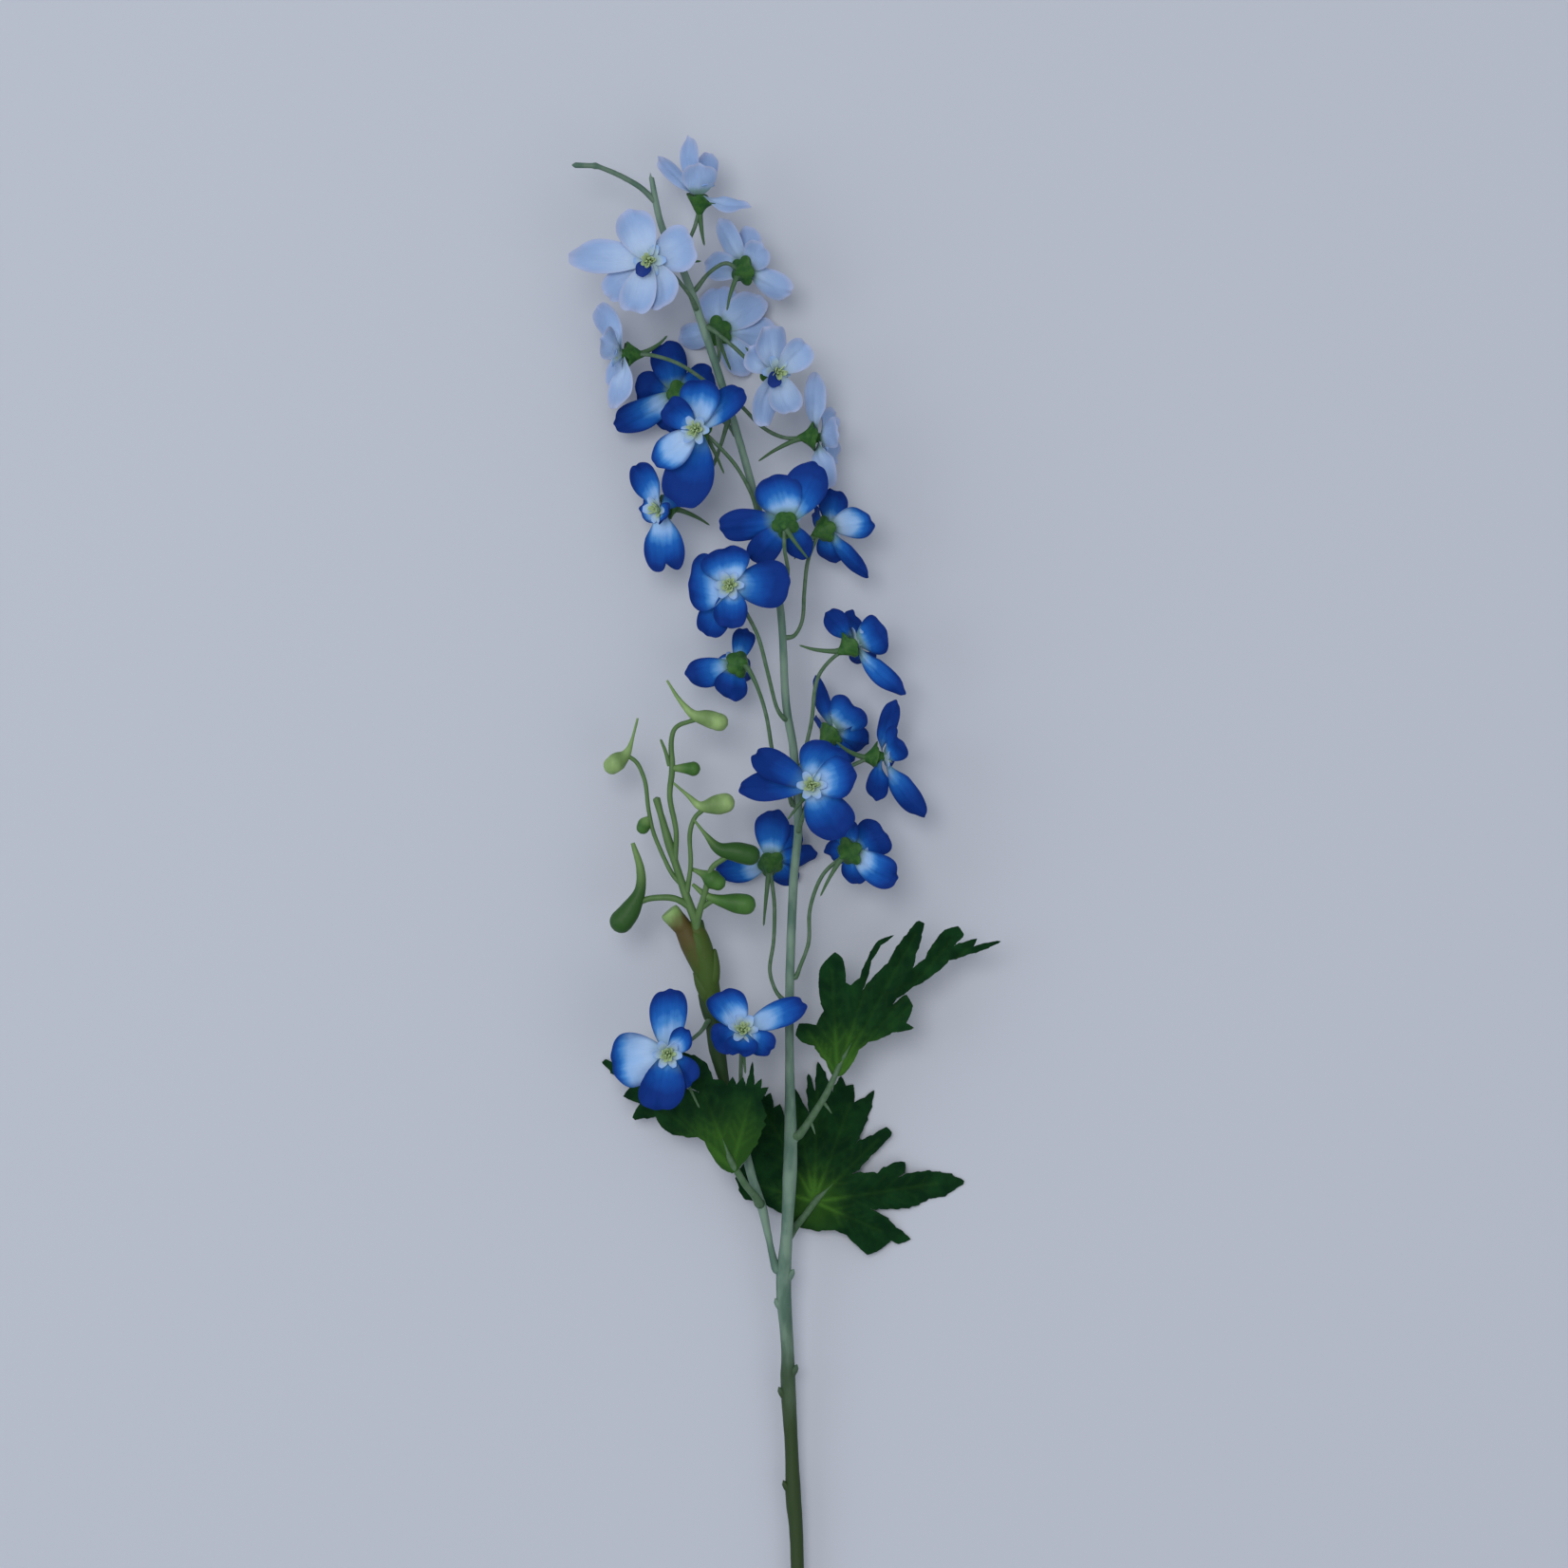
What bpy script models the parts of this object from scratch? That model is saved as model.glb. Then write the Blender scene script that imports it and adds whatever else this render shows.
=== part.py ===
# Delphinium flower spike, cut and lying on a surface. One stem carries a side branch with
# a sprig of buds, three cut leaves and twenty-two florets, each on a stalk of its own.
# X runs across the spike, Y from the cut end to the tip, Z up from the surface.

import math

import bmesh
import bpy
from mathutils import Matrix, Vector
from mathutils.geometry import delaunay_2d_cdt

# The tables below are in millimetres, the scene is in metres
MM = 0.001

# Clearance between pieces that are held together, and how far a root stands up square
SEAT_GAP = 0.3
ROOT_RISE = 1.0

# Petal blade: thickness, start of its root, how much it bowls and cups, its narrow claw and
# where it is widest, and the places of its rows from root to tip
PETAL_THICKNESS = 0.7
PETAL_ROOT = 3.0
PETAL_BOWL = 0.09
PETAL_CUP = 0.22
PETAL_CLAW = 0.22
PETAL_TURNED_BY = 0.4
PETAL_WIDEST = 0.62
PETAL_ROWS = [(0.0, (-1, 1)), (0.34, (-1, 0, 1)), (0.7, (-1, 0, 1)), (0.97, (-1, 1))]

# Ring that holds the petals of a floret together, round the pin of its calyx
RING_INNER = 1.95
RING_OUTER = 3.7
RING_HALF_THICKNESS = 0.45
RING_SIDES = 6

# Calyx, pin and inner eye of a floret: height on its axis, radius at a lobe, radius between
CALYX_PROFILE = [
    (-6.0, 0.9, 0.9),
    (-3.2, 2.2, 2.2),
    (-1.7, 4.2, 2.5),
    (-1.0, 1.3, 1.3),
    (1.0, 1.3, 1.3),
    (3.6, 2.7, 1.6),
]
CALYX_LOBES = 5

# Stalk and spur of a floret, with heights on the floret's axis: where the stalk enters the
# cup, where the spur leaves it and bends, and how far its middle hangs below a straight run
STALK_RADIUS = 0.9
STALK_END = -5.0
SPUR_START = -3.4
SPUR_BEND = -6.5
SPUR_LEAN = 0.12
SPUR_SAG = 1.2
SPUR_RADII = [1.5, 1.2, 0.8, 0.45]

# Number of sides of each kind of tube
TUBE_SIDES = 5
BUD_SIDES = 6
SHEATH_SIDES = 6
BRANCH_SIDES = 7
STEM_SIDES = 8

# Leaf blade and stalk: places of the points along each midrib, and how wide its crease is
LEAF_THICKNESS = 0.7
LEAF_STALK_RADII = [1.7, 1.5, 1.4, 1.1]
RIB_PLACES = [0.4, 0.7, 1.0]
CREASE_WIDTH = 6.0

# Main stem: x, y, z of the centre line and the radius, from the cut end to the tip
STEM_LINE = [
    (5.2, -370.0, 3.1, 3.1),
    (5.6, -323.0, 4.4, 2.9),
    (4.4, -231.2, 6.8, 2.8),
    (2.8, -205.0, 7.8, 3.3),
    (2.0, -184.0, 8.8, 2.8),
    (0.6, -158.0, 10.6, 3.2),
    (0.2, -140.0, 12.0, 2.7),
    (-1.4, -114.0, 15.0, 3.2),
    (0.0, -91.2, 17.5, 2.5),
    (1.2, -67.2, 19.5, 3.0),
    (1.6, -49.2, 20.8, 2.7),
    (1.2, -19.2, 22.5, 1.9),
    (1.2, 12.8, 24.0, 1.9),
    (2.8, 56.8, 25.5, 1.9),
    (4.8, 82.0, 26.2, 1.8),
    (2.8, 112.8, 26.8, 1.8),
    (-0.4, 132.8, 27.0, 1.7),
    (-2.8, 172.8, 27.0, 1.6),
    (-9.6, 204.8, 27.0, 1.6),
    (-18.8, 238.8, 27.0, 1.6),
    (-26.4, 264.0, 26.8, 1.6),
    (-37.2, 296.8, 26.6, 1.8),
    (-44.4, 316.4, 26.6, 1.6),
    (-52.8, 333.6, 26.8, 1.5),
    (-57.0, 353.6, 27.0, 1.1),
]

# Bare shoot at the tip, bent to the left
TIP_SHOOT = [
    (-55.6, 344.0, 26.9, 1.3),
    (-62.0, 350.0, 27.4, 1.2),
    (-71.0, 355.0, 28.2, 1.1),
    (-80.4, 358.6, 28.8, 1.2),
    (-89.8, 359.0, 29.0, 1.2),
]

# Side branch, from its root beside the stem up into the sheath of the bud sprig
BRANCH_LINE = [
    (-7.0, -97.0, 16.8, 1.4),
    (-10.4, -81.2, 17.0, 2.0),
    (-14.4, -69.2, 17.4, 1.9),
    (-17.6, -57.2, 18.0, 1.9),
    (-22.2, -44.0, 19.0, 1.9),
    (-26.4, -27.2, 20.6, 2.2),
    (-29.4, -13.2, 22.4, 3.6),
    (-31.4, 4.8, 24.4, 3.9),
    (-33.6, 18.8, 26.0, 4.6),
    (-36.6, 29.0, 27.0, 5.4),
    (-38.4, 35.0, 27.6, 4.6),
]
BRANCH_ROOT = (-1.0, -107.0)
SHEATH_PRONGS = [
    [(-36.4, 27.6, 27.0, 3.4), (-43.0, 37.0, 28.2, 3.4), (-50.0, 45.0, 29.0, 2.4)],
    [(-35.6, 26.0, 26.8, 3.2), (-37.4, 36.0, 28.0, 3.2), (-37.2, 40.5, 28.6, 2.2)],
]

# Stalks of the bud sprig, all grown from one foot above the sheath
SPRIG_STALKS = [
    [(-38.4, 41.1, 30.9, 1.9), (-42.6, 52.0, 31.2, 1.8), (-46.8, 64.8, 31.2, 1.6),
     (-49.6, 73.6, 31.0, 1.9), (-52.8, 84.8, 30.8, 1.4), (-54.8, 92.0, 30.6, 1.6)],
    [(-44.4, 56.0, 31.2, 1.0), (-48.4, 60.8, 30.6, 1.0), (-52.4, 68.8, 29.6, 0.9),
     (-56.4, 78.8, 28.8, 0.9), (-58.4, 88.8, 28.8, 0.9), (-59.6, 98.8, 28.4, 0.9),
     (-62.8, 106.8, 27.6, 0.9), (-67.4, 110.6, 27.0, 0.9)],
    [(-47.0, 66.0, 31.4, 1.2), (-46.6, 78.8, 32.6, 1.1), (-49.2, 92.8, 33.2, 1.2),
     (-48.2, 104.8, 33.0, 1.3), (-48.6, 116.0, 32.0, 1.1), (-46.4, 122.4, 31.2, 1.0),
     (-38.8, 125.4, 30.6, 1.0)],
    [(-42.0, 53.0, 31.6, 1.2), (-40.4, 64.8, 33.4, 1.0), (-40.8, 76.8, 34.2, 1.0),
     (-38.8, 84.0, 34.4, 1.0), (-35.0, 87.8, 34.2, 1.1)],
    [(-37.6, 42.4, 31.6, 1.6), (-34.6, 52.0, 34.0, 1.3), (-31.6, 62.8, 36.0, 1.2),
     (-25.6, 67.6, 36.6, 1.1)],
    [(-36.6, 46.0, 32.0, 1.3), (-31.0, 49.4, 33.6, 1.2), (-27.0, 49.4, 34.0, 1.2)],
    [(-39.6, 45.6, 31.0, 1.4), (-47.0, 50.2, 32.0, 1.4), (-56.4, 50.4, 31.4, 1.3),
     (-62.0, 48.8, 30.8, 1.3)],
    [(-49.4, 106.0, 33.0, 0.9), (-51.0, 112.0, 33.6, 0.8), (-53.0, 117.0, 34.2, 0.5)],
]

# Buds of the sprig, each from the tip of its spur to its blunt end
SPRIG_BUDS = [
    [(-64.8, 73.6, 33.0, 0.9), (-61.6, 62.8, 32.4, 1.8), (-61.8, 53.6, 31.4, 2.4),
     (-66.0, 45.2, 30.4, 4.4), (-69.6, 40.6, 29.6, 5.0), (-72.6, 36.6, 29.0, 2.4)],
    [(-62.8, 126.2, 28.0, 0.5), (-65.4, 116.4, 27.4, 0.8), (-67.6, 111.2, 27.0, 2.0),
     (-71.0, 108.2, 26.6, 3.9), (-73.6, 106.2, 26.4, 3.8), (-75.8, 104.6, 26.2, 1.8)],
    [(-58.2, 84.4, 28.6, 0.9), (-59.6, 82.2, 28.0, 2.8), (-60.6, 80.0, 27.6, 2.8),
     (-61.2, 78.2, 27.4, 1.2)],
    [(-50.4, 142.0, 31.6, 0.5), (-45.6, 134.4, 31.2, 0.9), (-39.6, 127.8, 30.8, 2.0),
     (-33.4, 126.0, 30.6, 3.6), (-28.4, 124.4, 30.4, 3.8), (-25.4, 123.4, 30.4, 1.8)],
    [(-47.6, 105.0, 33.0, 1.2), (-43.0, 105.0, 33.6, 2.2), (-39.4, 104.8, 34.0, 3.1),
     (-37.2, 104.6, 34.2, 1.4)],
    [(-47.6, 98.8, 35.6, 0.5), (-41.6, 93.6, 35.0, 0.9), (-36.4, 89.2, 34.4, 2.0),
     (-30.0, 89.6, 34.2, 4.1), (-26.0, 90.4, 34.0, 4.2), (-22.8, 91.0, 34.0, 1.8)],
    [(-39.0, 83.4, 37.8, 0.5), (-34.4, 77.6, 37.4, 0.9), (-28.6, 71.4, 36.8, 2.6),
     (-21.0, 69.8, 36.4, 4.3), (-15.6, 68.6, 36.0, 4.4), (-11.8, 67.8, 35.8, 2.0)],
    [(-40.4, 62.8, 31.6, 0.7), (-35.6, 60.8, 33.4, 1.6), (-31.8, 58.6, 34.2, 4.1),
     (-29.0, 57.0, 34.6, 3.4), (-27.6, 56.2, 34.8, 1.6)],
    [(-39.6, 56.2, 31.6, 0.7), (-34.0, 51.6, 33.0, 1.5), (-28.6, 49.6, 33.8, 2.4),
     (-22.0, 48.4, 34.0, 4.1), (-17.4, 47.8, 34.0, 4.4), (-14.2, 47.4, 34.0, 1.9)],
]

# Leaves: base, outline and midribs in the plane, then the rules for their height
LEAVES = [
    dict(
        name="leaf_left",
        carrier="branch",
        root=(-12.0, -79.0),
        stalk=[(-13.6, -75.4, 23.0), (-18.0, -69.6, 27.6), (-23.6, -60.0, 28.8)],
        base=(-23.0, -63.0),
        height=29.0,
        slope=(0.5, 0.06),
        droop=6.0,
        ripple=1.2,
        ripple_count=5,
        fold=1.6,
        outline=[
            (-22.8, -65.6), (-27.6, -63.6), (-31.6, -58.4), (-34.8, -52.4), (-37.6, -50.8),
            (-49.6, -49.2), (-52.8, -47.2), (-55.6, -42.8), (-65.6, -43.2), (-62.4, -37.2),
            (-69.6, -34.4), (-66.8, -30.8), (-71.6, -26.4), (-78.8, -20.0), (-67.6, -22.4),
            (-51.6, -27.2), (-42.8, -30.4), (-36.4, -32.0), (-49.6, -22.4), (-35.6, -24.8),
            (-46.8, -14.4), (-34.8, -18.6), (-31.0, -26.0), (-24.4, -28.4), (-17.2, -28.4),
            (-14.4, -18.0), (-13.6, -28.0), (-9.2, -28.4), (-10.8, -34.4), (-9.2, -39.2),
            (-10.8, -47.2), (-14.4, -55.2), (-18.4, -61.2),
        ],
        ribs=[(-70.0, -25.0), (-60.0, -41.0), (-46.0, -41.0), (-38.0, -24.0), (-15.0, -33.0)],
    ),
    dict(
        name="leaf_upper_right",
        carrier="stem",
        root=(1.6, -50.0),
        stalk=[(7.0, -47.4, 23.0), (12.4, -39.2, 24.6), (17.2, -31.2, 25.6), (22.8, -19.0, 25.6)],
        base=(21.4, -24.8),
        height=26.0,
        slope=(0.02, 0.06),
        droop=9.0,
        ripple=2.2,
        ripple_count=6,
        fold=1.8,
        outline=[
            (19.6, -25.2), (16.4, -18.4), (11.6, -12.0), (6.4, -10.4), (3.6, -7.2),
            (5.2, -2.4), (12.4, -3.2), (15.6, 2.8), (13.6, 10.8), (14.0, 20.8),
            (17.2, 24.8), (20.4, 27.6), (23.6, 24.8), (24.8, 14.8), (26.8, 13.6),
            (30.8, 16.8), (34.0, 24.8), (38.4, 32.4), (45.2, 34.8), (39.6, 30.4),
            (35.6, 24.0), (31.6, 10.8), (42.4, 22.8), (50.4, 34.8), (55.6, 40.8),
            (58.0, 39.6), (56.8, 34.8), (54.4, 26.8), (53.2, 20.8), (58.4, 24.8),
            (62.4, 32.0), (66.4, 36.8), (72.4, 38.4), (74.8, 34.8), (68.4, 28.8),
            (80.4, 33.2), (78.8, 29.8), (90.4, 32.0), (76.4, 26.4), (68.4, 24.0),
            (62.4, 18.4), (53.2, 12.8), (46.4, 8.0), (41.6, 2.0), (50.4, 9.6),
            (53.2, 4.8), (50.4, -2.4), (53.6, -4.4), (44.4, -6.4), (34.4, -10.4),
            (30.4, -13.6), (27.2, -20.0), (23.6, -24.4),
        ],
        ribs=[(9.0, -6.0), (19.0, 20.0), (38.0, 28.0), (54.0, 35.0), (69.0, 32.0),
              (76.0, 28.6), (47.0, -2.0)],
    ),
    dict(
        name="leaf_lower_right",
        carrier="stem",
        root=(0.4, -93.0),
        stalk=[(3.4, -90.0, 9.0), (7.6, -85.0, 6.4), (13.0, -78.0, 5.4)],
        base=(11.6, -79.2),
        height=5.4,
        slope=(-0.062, 0.0),
        droop=6.5,
        ripple=2.6,
        ripple_count=4,
        fold=1.4,
        outline=[
            (4.4, -90.0), (-1.6, -84.4), (-9.6, -79.2), (-18.4, -77.6), (-21.6, -68.0),
            (-17.2, -61.6), (-15.6, -51.2), (-14.0, -39.2), (-11.6, -30.0), (-9.2, -34.4),
            (-6.8, -32.8), (-5.6, -39.2), (-2.8, -37.6), (-0.8, -44.0), (3.6, -31.2),
            (6.8, -37.2), (9.6, -42.0), (9.2, -24.8), (12.6, -37.2), (13.2, -20.0),
            (17.2, -27.2), (19.6, -33.0), (23.2, -26.0), (25.2, -30.4), (28.4, -29.6),
            (28.8, -37.2), (33.2, -35.2), (37.2, -32.0), (34.4, -43.2), (28.8, -55.2),
            (36.4, -51.2), (42.4, -47.6), (44.8, -50.0), (35.6, -60.0), (27.2, -67.6),
            (38.4, -67.2), (46.4, -62.4), (50.4, -62.4), (50.4, -66.0), (44.4, -71.2),
            (52.4, -67.2), (66.4, -67.2), (75.6, -70.8), (68.4, -76.4), (60.4, -78.4),
            (53.2, -81.6), (34.4, -82.0), (40.4, -84.8), (46.4, -90.4), (52.8, -95.6),
            (47.6, -97.6), (44.4, -96.0), (39.6, -100.0), (34.4, -102.0), (30.4, -98.4),
            (25.2, -93.2), (20.4, -91.2),
        ],
        ribs=[(-16.0, -71.0), (-9.0, -41.0), (4.0, -38.0), (13.0, -33.0), (27.0, -38.0),
              (39.0, -53.0), (64.0, -71.8), (40.0, -92.0)],
    ),
]

# Florets: centre of the petal ring, way it faces, spur tip, stalk from its carrier, share by
# which the petals turn to the viewer, and each petal's tip from the centre with its width
FLORETS = [
    dict(
        name="floret_01", tone="pale", carrier="stem", root=(-44.4, 316.4),
        centre=(-36.8, 346.4, 27.0), facing=(0.0, 1.0, 0.15), spur=(2.0, -20.8, -2.0),
        stalk=[(-41.6, 326.0, 25.6), (-38.6, 334.0, 25.6)],
        show=0.6,
        petals=[(-6.2, 23.6, 5.0, 9), (4.4, 18.4, -4.0, 10), (-15.6, 17.2, -3.0, 8),
                (20.0, -5.6, 2.0, 8), (0.4, 12.2, 11.0, 15)],
    ),
    dict(
        name="floret_02", tone="pale", carrier="stem", root=(-38.0, 299.0),
        centre=(-57.2, 317.0, 46.0), facing=(-0.2, 0.0, 0.98), spur=(21.0, 1.0, -11.0),
        stalk=[(-41.0, 304.0, 34.0), (-48.0, 312.0, 38.0)],
        petals=[(-33.2, 5.2, -2.0, 15), (-8.8, 21.2, 2.0, 17), (18.0, 8.0, 6.0, 20),
                (7.2, -18.8, 4.0, 17), (-7.2, -22.4, 2.0, 15), (-20.0, -13.0, -2.0, 13)],
    ),
    dict(
        name="floret_03", tone="pale", carrier="stem", root=(-40.6, 306.0),
        centre=(-17.2, 316.0, 20.0), facing=(0.45, 0.3, -0.75), spur=(-8.0, -18.0, 8.0),
        stalk=[(-32.6, 314.0, 26.0), (-25.6, 318.0, 25.6)],
        show=0.4,
        petals=[(-11.6, 20.8, -2.0, 11), (0.4, 17.8, 2.0, 11), (-16.8, 4.0, -10.0, 13),
                (8.0, 9.0, 10.0, 13), (18.8, -11.2, 4.0, 12)],
    ),
    dict(
        name="floret_04", tone="pale", carrier="stem", root=(-30.6, 276.0),
        centre=(-28.8, 290.8, 8.0), facing=(0.15, 0.1, -0.98), spur=(5.0, -17.0, 6.0),
        stalk=[(-28.6, 280.0, 20.0), (-29.4, 288.0, 18.0)],
        petals=[(-0.8, 19.2, -4.0, 17), (18.0, 15.0, -1.0, 15), (24.4, -1.0, -2.0, 16),
                (13.2, -18.0, -5.0, 14), (-17.2, -2.8, -8.0, 12)],
    ),
    dict(
        name="floret_05", tone="pale", carrier="stem", root=(-25.8, 262.0),
        centre=(-68.8, 280.0, 24.0), facing=(-0.95, 0.05, 0.15), spur=(18.0, 8.0, -8.0),
        stalk=[(-33.0, 267.0, 28.0), (-45.0, 275.0, 30.0), (-56.0, 279.0, 26.0)],
        show=0.7,
        petals=[(-10.4, 20.8, 2.0, 10), (-9.0, 6.0, 12.0, 13), (-9.0, 6.0, -12.0, 12),
                (-3.0, -23.0, 4.0, 11), (-7.0, -13.0, -9.0, 10)],
    ),
    dict(
        name="floret_06", tone="dark", carrier="stem", root=(-20.6, 246.0),
        centre=(-46.4, 264.0, 12.0), facing=(-0.3, 0.2, -0.93), spur=(13.0, -13.0, 4.0),
        stalk=[(-25.0, 250.0, 21.0), (-36.0, 258.0, 20.0)],
        petals=[(-5.2, 22.0, 2.0, 17), (15.0, 9.0, -5.0, 15), (-18.0, 1.0, 2.0, 17),
                (-26.0, -15.4, 0.0, 14), (-5.0, -16.0, -5.0, 15)],
    ),
    dict(
        name="floret_07", tone="dark", carrier="stem", root=(-11.6, 211.0),
        centre=(-37.6, 246.8, 46.0), facing=(-0.25, -0.15, 0.95), spur=(11.2, -18.0, -10.0),
        stalk=[(-15.6, 222.0, 33.0), (-23.0, 234.0, 37.0)],
        petals=[(1.2, 20.8, 5.0, 18), (18.0, 17.4, 8.0, 13), (-17.2, -15.2, -4.0, 15),
                (-5.0, -33.0, -5.0, 23), (-13.0, 11.0, 2.0, 13)],
    ),
    dict(
        name="floret_08", tone="dark", carrier="stem", root=(-22.4, 252.0),
        centre=(-52.8, 214.0, 27.0), facing=(-0.8, -0.1, 0.5), spur=(20.0, -6.0, -10.0),
        stalk=[(-27.4, 242.6, 28.0), (-31.0, 233.0, 27.0), (-38.0, 222.0, 26.0)],
        show=0.65,
        petals=[(-10.8, 19.6, -2.0, 12), (1.2, -26.8, 2.0, 17), (-4.0, -2.0, 17.0, 12),
                (-9.0, 1.0, -15.0, 12), (11.0, 13.0, 8.0, 12)],
    ),
    dict(
        name="floret_09", tone="pale", carrier="stem", root=(-25.8, 262.0),
        centre=(13.2, 244.8, 22.0), facing=(0.95, 0.0, -0.1), spur=(-25.0, -10.0, 1.0),
        stalk=[(-18.4, 257.0, 25.0), (-10.0, 248.8, 24.0), (-1.0, 244.6, 23.0)],
        show=0.7,
        petals=[(-1.0, 26.8, 3.0, 10), (9.0, 2.0, 14.0, 13), (8.0, 10.0, -12.0, 12),
                (8.0, -9.0, -12.0, 12), (5.6, -22.0, 0.0, 12)],
    ),
    dict(
        name="floret_10", tone="pale", carrier="stem", root=(-35.0, 290.0),
        centre=(-4.4, 271.1, 40.0), facing=(0.4, -0.1, 0.9), spur=(-13.0, 11.0, -9.0),
        stalk=[(-28.4, 287.4, 29.0), (-22.4, 282.4, 30.0), (-14.8, 275.6, 32.0)],
        petals=[(-4.0, 18.8, 5.0, 16), (14.0, 11.2, -1.0, 14), (5.6, -17.6, -1.0, 16),
                (-8.4, -22.4, 3.0, 13), (-12.0, 8.0, 7.0, 12)],
    ),
    dict(
        name="floret_11", tone="dark", carrier="stem", root=(-3.4, 181.0),
        centre=(-0.4, 208.0, 40.0), facing=(0.1, 0.25, -0.95), spur=(9.0, -15.0, 4.0),
        stalk=[(0.4, 186.6, 36.0), (-1.0, 197.0, 43.4)],
        petals=[(-4.2, 19.8, 3.0, 21), (12.8, 24.8, 5.0, 18), (-28.0, 0.0, -4.0, 14),
                (-14.0, -16.0, -6.0, 13), (8.0, -15.0, -5.0, 12)],
    ),
    dict(
        name="floret_12", tone="dark", carrier="stem", root=(-1.8, 160.0),
        centre=(17.2, 206.4, 22.0), facing=(0.6, 0.3, -0.5), spur=(-14.0, -13.0, 3.0),
        stalk=[(3.6, 161.4, 26.0), (6.6, 168.0, 25.4), (7.4, 180.0, 25.0), (9.0, 193.0, 25.0)],
        show=0.5,
        petals=[(16.0, -20.0, -2.0, 9), (18.4, 4.0, 8.0, 14), (3.0, -14.0, -10.0, 13),
                (3.0, 17.0, -3.0, 14), (-6.0, 6.0, -16.0, 11)],
    ),
    dict(
        name="floret_13", tone="dark", carrier="stem", root=(-0.2, 126.0),
        centre=(-23.6, 181.4, 45.0), facing=(-0.15, 0.0, 0.98), spur=(16.0, -6.6, -11.0),
        stalk=[(-4.4, 131.0, 30.6), (-8.0, 145.0, 34.6), (-12.0, 160.0, 37.0),
               (-18.0, 172.0, 38.0)],
        petals=[(-17.6, 1.0, 0.0, 25), (-3.0, 16.0, 3.0, 21), (25.0, 1.0, 6.0, 20),
                (-12.0, -20.0, 0.0, 14), (1.0, -18.0, 3.0, 15)],
    ),
    dict(
        name="floret_14", tone="dark", carrier="stem", root=(4.6, 90.0),
        centre=(-21.2, 148.8, 23.0), facing=(-0.45, -0.15, -0.88), spur=(11.0, -15.0, 7.0),
        stalk=[(0.0, 97.0, 28.6), (-5.5, 110.0, 29.0), (-8.4, 126.0, 29.4),
               (-11.6, 137.0, 29.6), (-15.4, 145.0, 29.4)],
        show=0.3,
        petals=[(2.8, 15.6, -6.0, 10), (-20.8, -6.4, 4.0, 13), (-4.4, -14.2, 0.0, 15),
                (6.0, -2.0, -15.0, 10), (-10.0, 0.0, -12.0, 11)],
    ),
    dict(
        name="floret_15", tone="dark", carrier="stem", root=(3.6, 104.0),
        centre=(28.4, 157.6, 25.0), facing=(0.75, 0.45, -0.3), spur=(-23.0, -0.8, 3.0),
        stalk=[(7.6, 112.8, 29.0), (10.4, 124.8, 31.0), (11.6, 136.8, 31.0),
               (13.6, 144.4, 30.0), (18.4, 150.6, 28.0)],
        show=0.6,
        petals=[(-10.4, 14.4, 0.0, 11), (0.0, 13.0, -12.0, 10), (13.6, 4.2, 8.0, 18),
                (20.8, -21.2, 3.0, 10), (6.0, -8.0, -14.0, 12)],
    ),
    dict(
        name="floret_16", tone="dark", carrier="stem", root=(4.6, 86.0),
        centre=(19.2, 120.8, 17.0), facing=(0.5, 0.6, -0.4), spur=(-10.0, -12.0, 2.0),
        stalk=[(9.6, 92.6, 23.6), (14.0, 105.0, 21.6)],
        show=0.5,
        petals=[(-6.0, 22.4, -2.0, 9), (15.0, -5.0, -3.0, 16), (10.0, 11.0, 8.0, 18),
                (-6.0, 4.0, -17.5, 11), (7.0, -14.0, -6.0, 12)],
    ),
    dict(
        name="floret_17", tone="dark", carrier="stem", root=(4.0, 97.0),
        centre=(40.0, 110.0, 25.0), facing=(0.95, 0.1, 0.0), spur=(-19.0, 6.0, 7.0),
        stalk=[(11.6, 99.0, 28.0), (20.0, 102.0, 28.0), (28.0, 106.4, 27.0)],
        show=0.75,
        petals=[(4.8, 23.6, -2.0, 9), (8.0, 8.0, 11.0, 15), (-1.2, -18.4, 5.0, 10),
                (16.4, -25.6, 0.0, 11), (6.0, 2.0, -15.0, 12)],
    ),
    dict(
        name="floret_18", tone="dark", carrier="stem", root=(4.6, 79.0),
        centre=(10.4, 97.6, 50.0), facing=(0.0, 0.1, 0.99), spur=(-10.0, -14.0, -10.0),
        stalk=[(6.6, 84.0, 34.0), (9.4, 91.0, 40.0)],
        petals=[(-24.8, 13.2, 1.0, 13), (-30.0, 1.2, -2.0, 13), (8.0, 18.0, 4.0, 22),
                (18.0, 5.0, 6.0, 18), (11.0, -22.0, 2.0, 20)],
    ),
    dict(
        name="floret_19", tone="dark", carrier="stem", root=(1.2, 7.0),
        centre=(-6.8, 65.6, 9.0), facing=(0.1, 0.45, -0.8), spur=(-3.0, -27.0, 9.0),
        stalk=[(-4.8, 11.4, 22.6), (-7.2, 20.0, 21.6), (-5.6, 32.0, 20.4), (-5.2, 46.0, 18.4),
               (-6.2, 56.0, 16.6)],
        petals=[(1.0, 22.0, 4.0, 15), (12.0, 14.0, 2.0, 13), (-22.8, -5.6, -4.0, 13),
                (19.0, 4.2, -3.0, 12), (9.2, -9.2, -9.0, 13)],
    ),
    dict(
        name="floret_20", tone="dark", carrier="stem", root=(1.4, 17.0),
        centre=(27.2, 70.4, 28.0), facing=(0.5, 0.3, -0.75), spur=(-13.0, -19.0, 5.0),
        stalk=[(5.6, 21.4, 24.6), (9.2, 32.0, 26.6), (9.8, 46.0, 28.6), (15.0, 60.0, 32.0)],
        show=0.3,
        petals=[(14.0, 9.0, 2.0, 17), (18.8, -13.6, 4.0, 15), (-4.0, 14.0, 3.0, 13),
                (2.0, -14.0, -8.0, 12), (-10.0, -2.0, -12.0, 11)],
    ),
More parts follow.
